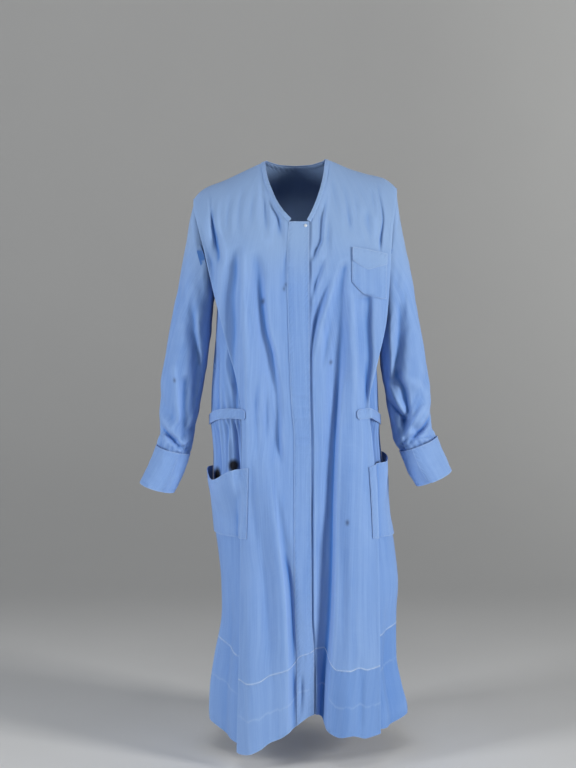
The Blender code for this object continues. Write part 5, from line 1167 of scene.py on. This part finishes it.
def sleevePoint(side, word, place, angle):
    rows = sleeve[word]
    turn = math.radians(angle)
    middle, long, deep = sectionSpokes(side, rows, place)
    drawn = 0.0
    for spot, centre, slope, wide, span, depth in sleeveCreases[word]:
        away = (angle - centre + 180.0) % 360.0 - 180.0
        drawn += depth * math.exp(-((place - spot - slope * away) / wide) ** 2 - (away / span) ** 2)
    near = ease((place - 10.2) / 1.6) * (1.0 - 0.75 * ease((place - 12.0) / 1.0))
    drawn += sleeve["gatherDepth"] * math.cos(turn * sleeve["gathers"]) * near
    drawn += 0.0011 * math.cos(turn * sleeve["fineGathers"] + place) * ease((place - 11.0) / 1.2)
    loose = Vector((math.cos(turn), math.sin(turn), place * 0.45 + side * 4.0))
    drawn += (noise.noise(loose * 1.6) * 0.0022 + noise.noise(loose * 4.0) * 0.0009) * ease(place / 1.5)
    point = middle + (long * math.cos(turn) + deep * math.sin(turn)) * (1.0 + drawn / long.length)
    facing = ease(math.sin(turn) / 0.5) * ease((place - 2.9) / 1.6) * ease((13.0 - place) / 0.5)
    point.y -= foldsAt(sleeveFolds[word], point.x, point.z) * facing
    if place < 1.0:
        point = armholePoint(side, angle % 360.0, rows).lerp(point, ease(place))
    elif place < 4.0:
        point.x -= side * 0.012 * (1.0 - ease((place - 1.0) / 3.0)) * math.sin(turn) ** 2
    return point


for side, word in ((-1, "right"), (1, "left")):
    look = dict(sleeve, finish=cotton("sleeve_" + word, side * 4.3 + 30.0, False, side < 0),
                slot="cotton_sleeve_" + word, replaces="sleeve_" + word)
    clothPanel("cloth_sleeve_" + word, look, lambda u, v: sleevePoint(side, word, 13.0 * v, 360.0 * u),
               flip=side > 0, closed=True)
print("sleeves made")

# Cuffs: a strip that goes round and laps itself, with a rounded free corner.
cuff = {
    "columns": 120, "rows": 30, "wall": 0.0016, "start": 112.0, "turn": 398.0, "lift": 0.0026,
    "right": Table(
        (0, 0.2800, -0.5660, 0.2110, -0.5840, -0.027, 0.0385), (1, 0.2900, -0.5900, 0.2195, -0.6100, -0.031, 0.0395),
        (2, 0.3010, -0.6150, 0.2305, -0.6360, -0.036, 0.0410), (3, 0.3130, -0.6400, 0.2430, -0.6610, -0.041, 0.0430)),
    "left": Table(
        (0, 0.2865, -0.5480, 0.2100, -0.5790, -0.030, 0.0385), (1, 0.2950, -0.5710, 0.2200, -0.6030, -0.035, 0.0395),
        (2, 0.3050, -0.5930, 0.2310, -0.6260, -0.040, 0.0410), (3, 0.3150, -0.6150, 0.2430, -0.6470, -0.045, 0.0430)),
}


def cuffPoint(side, word, u, v):
    roundBy = cuff["turn"] * u
    lift = cuff["lift"] * ease((roundBy - 300.0) / 55.0)
    corner = 0.50 * ease((roundBy - 384.0) / 14.0) ** 2
    place = v * (3.0 - corner)
    turn = math.radians(cuff["start"] - cuff["turn"] + roundBy)
    middle, long, deep = sectionSpokes(side, cuff[word], place)
    spoke = long * math.cos(turn) + deep * math.sin(turn)
    soft = noise.noise(Vector((math.cos(turn) * 1.5, math.sin(turn) * 1.5, place * 0.8 + side))) * 0.0016
    soft += noise.noise(Vector((math.cos(turn) * 5.0, math.sin(turn) * 5.0, place * 2.6 + side))) * 0.0006
    return middle + spoke + spoke.normalized() * (lift + soft * ease(v / 0.2))


for side, word in ((-1, "right"), (1, "left")):
    look = dict(cuff, finish=cotton("cuff_" + word, side * 5.1 + 50.0, False, False, 0.12), slot="cotton_cuff_" + word,
                replaces="cuff_" + word)
    clothPanel("cloth_cuff_" + word, look, lambda u, v: cuffPoint(side, word, u, v), flip=side > 0)
print("cuffs made")

# The half belt, from the right front round the back to the left front.
belt = {"columns": 320, "rows": 10, "wall": 0.0014, "high": 0.020, "tabRight": 0.010, "tabLeft": 0.026, "lift": 0.0029,
        "finish": cotton("belt", 61.0, False, False, 0.2), "slot": "cotton_belt", "replaces": "half_belt"}


@lru_cache(maxsize=None)
def beltLine(shift):
    out = belt["lift"]
    line = []

    def onFront(side, inward):
        z = waistFront + shift
        x = pleatX(side, z) - side * inward
        return frontPoint(side, x, z) + frontNormal(side, x, z) * out

    def onSide(side, xOut):
        z = waistFront
        for _ in range(4):
            x = pleatX(side, z) + side * xOut
            point = bodyRing(ringAngle(x, z, True), z, out)
            z = waistZ(point.y) + shift
        return Vector((point.x, point.y, z))

    for k in range(5):
        line.append(onFront(-1, belt["tabRight"] * (1.0 - k / 4)))
    line.append(line[-1] + Vector((-0.0022, 0.0020, 0.0)))
    start, stop = onSide(-1, 0.016), onSide(1, 0.013)
    a, b = ringAngle(start.x, start.z, True), ringAngle(stop.x, stop.z, True) + 360.0
    for i in range(61):
        z = waistSide
        for _ in range(3):
            point = bodyRing(mix(a, b, i / 60), z, out)
            z = waistZ(point.y) + shift
        line.append(Vector((point.x, point.y, z)))
    edge = onFront(1, 0.0)
    line.append(edge + Vector((0.0022, 0.0020, 0.0)))
    for k in range(7):
        line.append(onFront(1, belt["tabLeft"] * k / 6))
    marks = [0.0]
    for before, after in zip(line, line[1:]):
        marks.append(marks[-1] + (after - before).length)
    return line, marks


def onLine(line, marks, distance):
    distance = clamp(distance, 0.0, marks[-1])
    i = 0
    while i < len(marks) - 2 and marks[i + 1] < distance:
        i += 1
    return line[i].lerp(line[i + 1], (distance - marks[i]) / max(marks[i + 1] - marks[i], 1e-9))


def beltPoint(u, v):
    shift = belt["high"] * (0.5 - v)
    line, marks = beltLine(round(shift, 6))
    ends = 0.0045 * (abs(2.0 * v - 1.0) ** 4)
    distance = mix(ends, marks[-1] - ends, 1.0 - u)
    point = onLine(line, marks, distance)
    soft = noise.noise(Vector((distance * 40.0, v * 2.0, 8.0))) * 0.0005
    return point + outwards(point) * soft


clothPanel("cloth_belt", belt, beltPoint)
print("belt made")

# Hip pockets lap from the front on to the side skirt; the breast pocket has a pointed flap.
hipPocket = {
    "columns": 60, "rows": 60, "wall": 0.0011, "lap": 0.013,
    "right": {"mouthFront": -0.600, "mouthBack": -0.612, "footFront": -0.740, "footBack": -0.744, "dip": 0.022,
              "open": 0.022},
    "left": {"mouthFront": -0.600, "mouthBack": -0.585, "footFront": -0.740, "footBack": -0.752, "dip": 0.004,
             "open": 0.013},
}
pocketPlaces = Table((3, 0.16), (4, 0.24), (5, 0.32), (6, 0.40), (7, 0.47), (8, 0.55), (9, 0.63), (10, 0.70))


def hipPocketPoint(side, shape, u, v):
    mouth = mix(shape["mouthFront"], shape["mouthBack"], u) - shape["dip"] * hump(u, 0.56, 0.17)
    z = mix(mouth, mix(shape["footFront"], shape["footBack"], u), v)
    step = u * 10.0
    edge = pleatX(side, z)

    def onFront(inward):
        x = edge - side * inward
        return frontPoint(side, x, z) + frontNormal(side, x, z) * (laidGap + 0.0012)

    def onSide(place):
        base = sidePoint(side, place, z)
        bulge = shape["open"] * math.sin(math.pi * u) * (1.0 - ease(v / 0.85))
        tail = 0.0010 * ease((u - 0.9) / 0.1)
        return base + outwards(base) * (curvedGap + 0.0012 + bulge - tail)

    if step <= 2.0:
        point = onFront(hipPocket["lap"] * (1.0 - step / 2.0))
    elif step < 3.0:
        point = onFront(0.0).lerp(onSide(0.16), ease(step - 2.0))
    else:
        point = onSide(along(pocketPlaces, step))
    soft = noise.noise(Vector((u * 5.0, v * 4.0, side * 6.0))) * 0.0016 * math.sin(math.pi * u) ** 0.5
    sag = -0.0030 * hump(u, 0.30, 0.10) * hump(v, 0.25, 0.35) - 0.0035 * hump(u + 0.25 * v, 0.70, 0.09) * (1.0 - v)
    return point + outwards(point) * ((soft + sag * ease((step - 3.0) / 1.5)) * ease(v / 0.04) + max(soft, 0.0) * 0.3)


for side, word in ((-1, "right"), (1, "left")):
    look = dict(hipPocket, finish=cotton("hip_pocket_" + word, side * 2.9 + 70.0, False, False, 0.1),
                slot="cotton_hip_pocket_" + word, replaces="hip_pocket_" + word)
    clothPanel("cloth_hip_pocket_" + word, look, lambda u, v: hipPocketPoint(side, hipPocket[word], u, v),
               flip=side < 0)

# x, top, bottom
breastShape = Table(
    (0.111, -0.1665, -0.232), (0.121, -0.168, -0.2445), (0.133, -0.170, -0.255), (0.146, -0.172, -0.260),
    (0.159, -0.175, -0.264), (0.170, -0.178, -0.267), (0.179, -0.181, -0.268))
flapShape = Table(
    (0.1115, -0.1645, -0.190), (0.121, -0.166, -0.197), (0.132, -0.168, -0.204), (0.142, -0.170, -0.209),
    (0.154, -0.173, -0.206), (0.167, -0.176, -0.203), (0.179, -0.179, -0.200))


def patchPoint(shape, out, puff, u, v):
    x = mix(shape.keys[0], shape.keys[-1], u)
    z = mix(along(shape, x, 1), along(shape, x, 2), v)
    swell = puff * math.sin(math.pi * u) ** 0.5 * math.sin(math.pi * clamp(v, 0.0, 1.0)) ** 0.5
    swell += puff * 0.5 * noise.noise(Vector((x * 90.0, z * 60.0, 3.0)))
    return frontPoint(1, x, z) + frontNormal(1, x, z) * (out + max(swell, 0.0))


breastPocket = {"columns": 56, "rows": 48, "wall": 0.0010, "out": 0.0019, "puff": 0.0014,
                "finish": cotton("breast_pocket", 81.0, fadeAndShade=0.2), "slot": "cotton_breast_pocket", "replaces": "breast_pocket"}
breastFlap = {"columns": 56, "rows": 24, "wall": 0.0010, "out": 0.0038, "puff": 0.0016,
              "finish": cotton("breast_flap", 83.0, fadeAndShade=0.45), "slot": "cotton_breast_flap", "replaces": "breast_flap"}
clothPanel("cloth_breast_pocket", breastPocket,
           lambda u, v: patchPoint(breastShape, breastPocket["out"], breastPocket["puff"], u, v))
clothPanel("cloth_breast_flap", breastFlap,
           lambda u, v: patchPoint(flapShape, breastFlap["out"], breastFlap["puff"], u, v))
print("pockets made")

# Neck binding: a narrow tape folded over the neck edge.
binding = {"columns": 260, "rows": 10, "wall": 0.0007, "wide": 0.0068, "inside": 0.0060, "roundness": 0.0017,
           "finish": cotton("binding", 91.0, False, False, 0.35), "slot": "cotton_binding",
           "replaces": "neck_binding"}


def neckEdge():
    # points of the neckline and the outward normal of the cloth there, from the wearer's right
    found = []
    for k in range(41):
        x = mix(-0.0125, -neckHalf, k / 40)
        z = along(neckRight, -x)
        found.append((Vector((x, frontPoint(-1, x, z).y, z)), frontNormal(-1, x, z - 0.004)))
    for k in range(1, 40):
        x = mix(-neckHalf, neckHalf, k / 40)
        z = along(neckBack, abs(x))
        y = bow(x, 0.0, *(along(backTopSection, z, c) for c in (1, 2, 3))) * roll(x, z)
        found.append((Vector((x, y, z)), Vector((x * 0.5, 1.0, 0.9)).normalized()))
    for k in range(41):
        x = mix(neckHalf, 0.0285, k / 40)
        z = along(neckLeft, x)
        found.append((Vector((x, frontPoint(1, x, z).y, z)), frontNormal(1, x, z - 0.004)))
    return found


neckLine = neckEdge()


def bindingPoint(u, v):
    at = u * (len(neckLine) - 1)
    i = min(int(at), len(neckLine) - 2)
    point = neckLine[i][0].lerp(neckLine[i + 1][0], at - i)
    low, high = max(i - 2, 0), min(i + 3, len(neckLine) - 1)
    normal = sum((neckLine[k][1] for k in range(low, high + 1)), Vector()).normalized()
    ahead = (neckLine[high][0] - neckLine[low][0]).normalized()
    aside = ahead.cross(normal).normalized()
    if v < 0.45:
        return point + aside * mix(binding["wide"], 0.0, v / 0.45) + normal * binding["roundness"]
    if v < 0.65:
        turn = math.pi * (v - 0.45) / 0.20
        radius = (binding["roundness"] + 0.0028) / 2.0
        centre = point + normal * (binding["roundness"] - radius)
        return centre + normal * math.cos(turn) * radius - aside * math.sin(turn) * radius
    return point + aside * mix(0.0, binding["inside"], (v - 0.65) / 0.35) - normal * 0.0028


clothPanel("cloth_neck_binding", binding, bindingPoint, flip=True)
print("binding made")

# Sewing. Each stitch is one small rounded bar, and each seam is one joined mesh.
stitch = {"length": 0.0021, "pitch": 0.0028, "radius": 0.00020}


def stitchRun(panel, path, start=0.0):
    # places of the stitches along a path that is laid on a cloth piece
    marks = [0.0]
    for before, after in zip(path, path[1:]):
        marks.append(marks[-1] + (after - before).length)
    found, distance = [], start + stitch["pitch"] / 2.0
    while distance < marks[-1]:
        near, normal, _, _ = panels[panel].find_nearest(onLine(path, marks, distance))
        ahead, _, _, _ = panels[panel].find_nearest(onLine(path, marks, distance + stitch["length"] / 2.0))
        along_ = (ahead - near)
        if along_.length > 1e-6:
            found.append((near + normal * (stitch["radius"] * 0.55), along_.normalized(), normal))
        distance += stitch["pitch"]
    return found


def sewing(name, runs, finish, on, size=1.0):
    shape = bmesh.new()
    bmesh.ops.create_icosphere(shape, subdivisions=1, radius=1.0)
    bar = [v.co.copy() for v in shape.verts]
    faces = [[v.index for v in f.verts] for f in shape.faces]
    shape.free()
    verts, joined = [], []
    for near, ahead, normal in (place for run in runs for place in run):
        aside = normal.cross(ahead).normalized()
        up = ahead.cross(aside)
        first = len(verts)
        for p in bar:
            verts.append(near + ahead * p.x * stitch["length"] / 2.0 * size + aside * p.y * stitch["radius"] * size
                         + up * p.z * stitch["radius"] * size)
        joined += [[first + k for k in face] for face in faces]
    data = bpy.data.meshes.new(name)
    data.from_pydata([tuple(v) for v in verts], [], joined)
    data.shade_smooth()
    data.materials.append(finish)
    piece = bpy.data.objects.new(name, data)
    bpy.context.collection.objects.link(piece)
    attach(piece, "root")
    seams.setdefault(on, []).append(piece)


seams = {}


def line(count, pointAt):
    return [pointAt(k / count) for k in range(count + 1)]


rightFront, leftFront = frontSheet(-1), frontSheet(1)


def onFrontAt(side, x, z):
    return frontPoint(side, x, z)


sewing("stitches_placket", [
    stitchRun("cloth_placket", line(400, lambda t: flyPoint(0.07, t))),
    stitchRun("cloth_placket", line(400, lambda t: flyPoint(0.93, t))),
    stitchRun("cloth_placket", line(20, lambda t: flyPoint(mix(0.07, 0.93, t), 0.4335))),
    stitchRun("cloth_placket", line(20, lambda t: flyPoint(mix(0.07, 0.93, t), 0.4415))),
], sewingThread, "cloth_placket")
sewing("stitches_front_right", [
    stitchRun("cloth_front_right", line(300, lambda t: rightFront(117 / 132, mix(0.02, 1.0, t)))),
    stitchRun("cloth_front_right", line(60, lambda t: Vector((mix(-0.172, -0.147, t), frontPoint(-1, mix(-0.172, -0.147, t), mix(-0.054, -0.185, t)).y, mix(-0.054, -0.185, t))))),
], sewingThread, "cloth_front_right")
sewing("stitches_front_left", [
    stitchRun("cloth_front_left", line(300, lambda t: leftFront(117 / 132, mix(0.02, 1.0, t)))),
    stitchRun("cloth_front_left", line(60, lambda t: onFrontAt(1, mix(0.163, 0.170, t), mix(-0.040, -0.150, t)))),
], sewingThread, "cloth_front_left")
print("front seams sewn")


def hemRun(panel, side, start, stop):
    return stitchRun(panel, line(120, lambda t: onFrontAt(side, mix(start, stop, t), along(hemSewing, mix(start, stop, t)))))


sewing("stitches_hem_right", [hemRun("cloth_front_right", -1, -0.110, 0.001)], hemThread, "cloth_front_right",
       1.35)
sewing("stitches_hem_left", [hemRun("cloth_front_left", 1, 0.036, 0.168)], hemThread, "cloth_front_left",
       1.35)
sewing("stitches_hem_placket", [hemRun("cloth_placket", -1, 0.005, 0.036)], hemThread, "cloth_placket",
       1.35)
for side, word in ((-1, "right"), (1, "left")):
    skirt = sideSkirtSheet(side)

    def hemHeight(u):
        # share down the panel at which the hem was sewn
        foot = skirt(u, 1.0)
        goal = along(sideHem, foot.y, 1 if side < 0 else 2) + sideSkirt["hemBand"][side]
        low, high = 0.5, 1.0
        for _ in range(14):
            v = (low + high) / 2.0
            if skirt(u, v).z > goal:
                low = v
            else:
                high = v
        return v

    sewing("stitches_side_" + word, [
        stitchRun("cloth_side_skirt_" + word, line(60, lambda t: skirt(mix(0.02, 0.98, t), hemHeight(mix(0.02, 0.98, t))))),
        stitchRun("cloth_side_skirt_" + word, line(160, lambda t: skirt(0.975, t))),
        stitchRun("cloth_side_skirt_" + word, line(120, lambda t: skirt(mix(0.02, 0.98, t), 0.006))),
    ], sewingThread, "cloth_side_skirt_" + word)

    pocket = hipPocket[word]
    cloth = "cloth_hip_pocket_" + word
    sewing("stitches_hip_pocket_" + word, [
        stitchRun(cloth, line(80, lambda t: hipPocketPoint(side, pocket, 0.022, t))),
        stitchRun(cloth, line(80, lambda t: hipPocketPoint(side, pocket, 0.978, t))),
        stitchRun(cloth, line(80, lambda t: hipPocketPoint(side, pocket, t, 0.975))),
        stitchRun(cloth, line(80, lambda t: hipPocketPoint(side, pocket, t, 0.085))),
        stitchRun(cloth, line(20, lambda t: hipPocketPoint(side, pocket, mix(0.022, 0.13, t), mix(0.13, 0.02, t)))),
    ], sewingThread, cloth)

    def aroundCuff(v):
        return line(200, lambda t: cuffPoint(side, word, t, v))

    cloth = "cloth_cuff_" + word
    sewing("stitches_cuff_" + word, [
        stitchRun(cloth, aroundCuff(0.06)), stitchRun(cloth, aroundCuff(0.93)),
        stitchRun(cloth, line(40, lambda t: cuffPoint(side, word, 0.985, mix(0.06, 0.93, t)))),
    ], sewingThread, cloth)

sewing("stitches_back", [
    stitchRun("cloth_back_skirt", line(160, lambda t: backSkirtSheet(0.012, t))),
    stitchRun("cloth_back_skirt", line(160, lambda t: backSkirtSheet(0.988, t))),
    stitchRun("cloth_back_skirt", line(200, lambda t: backSkirtSheet(mix(0.01, 0.99, t), 0.008))),
    stitchRun("cloth_back_skirt", line(200, lambda t: backSkirtSheet(mix(0.01, 0.99, t), 0.775))),
], sewingThread, "cloth_back_skirt")
sewing("stitches_belt", [
    stitchRun("cloth_belt", line(400, lambda t: beltPoint(mix(0.006, 0.994, t), 0.11))),
    stitchRun("cloth_belt", line(400, lambda t: beltPoint(mix(0.006, 0.994, t), 0.89))),
    stitchRun("cloth_belt", line(16, lambda t: beltPoint(0.008, mix(0.11, 0.89, t)))),
    stitchRun("cloth_belt", line(16, lambda t: beltPoint(0.992, mix(0.11, 0.89, t)))),
], sewingThread, "cloth_belt")
sewing("stitches_breast_pocket", [
    stitchRun("cloth_breast_pocket", line(60, lambda t: patchPoint(breastShape, breastPocket["out"], breastPocket["puff"], 0.035, t))),
    stitchRun("cloth_breast_pocket", line(60, lambda t: patchPoint(breastShape, breastPocket["out"], breastPocket["puff"], 0.965, t))),
    stitchRun("cloth_breast_pocket", line(60, lambda t: patchPoint(breastShape, breastPocket["out"], breastPocket["puff"], t, 0.965))),
], sewingThread, "cloth_breast_pocket")
sewing("stitches_breast_flap", [
    stitchRun("cloth_breast_flap", line(60, lambda t: patchPoint(flapShape, breastFlap["out"], breastFlap["puff"], t, 0.94))),
    stitchRun("cloth_breast_flap", line(60, lambda t: patchPoint(flapShape, breastFlap["out"], breastFlap["puff"], t, 0.10))),
], sewingThread, "cloth_breast_flap")
sewing("stitches_binding", [
    stitchRun("cloth_neck_binding", line(300, lambda t: bindingPoint(t, 0.06))),
], sewingThread, "cloth_neck_binding")
print("sewing done")

# Button of the belt and the small press stud at the foot of the neck opening.
button = {"radius": 0.0055, "thick": 0.0024, "holeAt": 0.0014, "holeRadius": 0.0006,
          "finish": moulded("button_blue", tone(58, 84, 136), tone(88, 116, 164), 0.34),
          "slot": "button", "replaces": "belt_button"}
stud = {"radius": 0.0032, "thick": 0.0017,
        "finish": moulded("stud_pale", tone(176, 186, 198), tone(206, 214, 222), 0.24),
        "slot": "stud", "replaces": "neck_stud"}


def turned(name, profile, look, centre, normal):
    # a profile of radius and height, spun round the normal
    mesh = bmesh.new()
    rim = [mesh.verts.new((radius, 0.0, height)) for radius, height in profile]
    edges = [mesh.edges.new(pair) for pair in zip(rim, rim[1:])]
    bmesh.ops.spin(mesh, geom=rim + edges, cent=(0, 0, 0), axis=(0, 0, 1), angle=2.0 * math.pi, steps=40,
                   use_merge=True)
    bmesh.ops.remove_doubles(mesh, verts=mesh.verts[:], dist=0.00001)
    bmesh.ops.recalc_face_normals(mesh, faces=mesh.faces[:])
    turn = normal.to_track_quat("Z", "Y").to_matrix().to_4x4()
    bmesh.ops.transform(mesh, matrix=Matrix.Translation(centre) @ turn, verts=mesh.verts[:])
    for face in mesh.faces:
        face.smooth = True
    return addPiece(name, mesh, look)


def nodeMiddle(node):
    low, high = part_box(node)
    return (low + high) / 2.0


centre = nodeMiddle("belt_button")
normal = frontNormal(1, centre.x, centre.z)
seat = centre - normal * button["thick"] / 2.0
radius, thick = button["radius"], button["thick"]
turned("belt_button_turned", (
    (0.0, 0.0), (radius * 0.80, 0.0), (radius, thick * 0.35), (radius, thick * 0.65), (radius * 0.92, thick * 0.95),
    (radius * 0.80, thick), (radius * 0.66, thick * 0.82), (radius * 0.50, thick * 0.70), (0.0, thick * 0.66),
), button, seat, normal)
sideways = normal.cross(Vector((0.0, 0.0, 1.0))).normalized()
upwards = sideways.cross(normal).normalized()
crossing = []
for step in (-1, 1):
    spot = seat + normal * (thick * 0.78) + upwards * step * 0.0006
    crossing.append([(spot, sideways, normal)])
sewing("button_threads", crossing, darkThread, "cloth_belt", 1.3)

centre = nodeMiddle("neck_stud")
normal = frontNormal(-1, centre.x, centre.z)
radius, thick = stud["radius"], stud["thick"]
turned("neck_stud_turned", (
    (0.0, 0.0), (radius, 0.0), (radius, thick * 0.30), (radius * 0.90, thick * 0.45), (radius * 0.62, thick * 0.55),
    (radius * 0.55, thick * 0.90), (radius * 0.35, thick), (0.0, thick),
), stud, centre - normal * thick / 2.0, normal)
print("fastenings made")

# Studio: one sheet, pale on the floor and painted darker where it runs up into the wall as painted shade, soft lights,
# and the camera.
studio = {"floor": -1.196, "front": -5.5, "bendAt": 1.4, "bend": 1.5, "top": 4.5, "half": 6.0}


def sweep(t):
    flatLong, bendLong = studio["bendAt"] - studio["front"], studio["bend"] * math.pi / 2.0
    total = flatLong + bendLong + studio["top"]
    distance = t * total
    if distance < flatLong:
        return studio["front"] + distance, studio["floor"]
    if distance < flatLong + bendLong:
        turn = (distance - flatLong) / studio["bend"]
        return (studio["bendAt"] + studio["bend"] * math.sin(turn),
                studio["floor"] + studio["bend"] * (1.0 - math.cos(turn)))
    return studio["bendAt"] + studio["bend"], studio["floor"] + studio["bend"] + distance - flatLong - bendLong


mesh = bmesh.new()
bmesh.ops.create_grid(mesh, x_segments=8, y_segments=120, size=0.5)
for vert in mesh.verts:
    y, z = sweep(vert.co.y + 0.5)
    vert.co = Vector((vert.co.x * 2.0 * studio["half"], y, z))
for face in mesh.faces:
    face.smooth = True
backdrop = bpy.data.objects.new("backdrop", bpy.data.meshes.new("backdrop"))
mesh.to_mesh(backdrop.data)
mesh.free()
bpy.context.collection.objects.link(backdrop)
paper = Shader("studio_paper")
px, py, pz = paper.split(paper.node("ShaderNodeTexCoord", output=3))
grain = paper.clouds(paper.join(px * 3.0, py * 3.0, pz * 3.0), 3.0, 0.5)
# painted light and shade: paler on the floor and darker up the wall, with both drawn towards a middle grey towards +X
paperColour = paper.colour(py.between(-0.6, 2.2), tone(224, 224, 223), tone(152, 152, 151))
paperColour = paper.colour(px.between(0.2, 1.4) * 0.5, paperColour, tone(184, 184, 182))
paperColour = paper.colour(grain * 0.08, paperColour, tone(120, 120, 122))
backdrop.data.materials.append(paper.finish(Base_Color=paperColour, Roughness=0.75 + grain * 0.1))
# the sheet is clear from its back, so that a camera behind the wall sees the dress
behind = paper.node("ShaderNodeNewGeometry", output=6)
paperSurface = Wire(paper, paper.surface.outputs[0])
seen = paper.node("ShaderNodeMixShader", None, {0: behind, 1: paperSurface, 2: paper.node("ShaderNodeBsdfTransparent")})
paper.feed(paper.tree.nodes["Material Output"].inputs["Surface"], seen)
backdrop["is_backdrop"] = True

world = bpy.data.worlds.new("studio")
bpy.context.scene.world = world
world.use_nodes = True
world.node_tree.nodes["Background"].inputs["Color"].default_value = (0.66, 0.78, 1.0, 1.0)
world.node_tree.nodes["Background"].inputs["Strength"].default_value = 0.10

# lights: name, place, size across, size down, power, colour
lights = (
    ("key", (4.3, -2.6, 0.6), 1.2, 2.4, 236.0, (1.0, 0.985, 0.95)),
    ("fill", (-4.3, -2.6, 0.6), 1.2, 2.4, 166.0, (0.97, 0.985, 1.0)),
    ("front", (-0.3, -2.6, 3.2), 1.4, 0.8, 22.0, (1.0, 1.0, 1.0)),
    ("wall", (0.0, 0.9, 2.6), 3.0, 0.8, 16.0, (1.0, 1.0, 1.0)),
)
for name, spot, wide, high, power, tint in lights:
    lamp = bpy.data.lights.new(name, "AREA")
    lamp.shape, lamp.size, lamp.size_y, lamp.energy, lamp.color = "RECTANGLE", wide, high, power, tint
    holder = bpy.data.objects.new(name, lamp)
    aim = Vector((0.0, 0.0, -0.5)) if name != "wall" else Vector((0.0, 3.0, 0.2))
    holder.location = spot
    holder.rotation_euler = (aim - Vector(spot)).to_track_quat("-Z", "Y").to_euler()
    bpy.context.collection.objects.link(holder)

camera = bpy.data.objects.new("camera", bpy.data.cameras.new("camera"))
camera.data.sensor_width, camera.data.lens = 36.0, 90.93
camera.location = (-0.0142, -3.9, 0.0049)
camera.rotation_euler = (math.radians(90.0 - 6.6), 0.0, 0.0)
bpy.context.collection.objects.link(camera)
bpy.context.scene.camera = camera
bpy.context.scene.view_settings.view_transform = "Standard"
print("studio ready")

low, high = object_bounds()
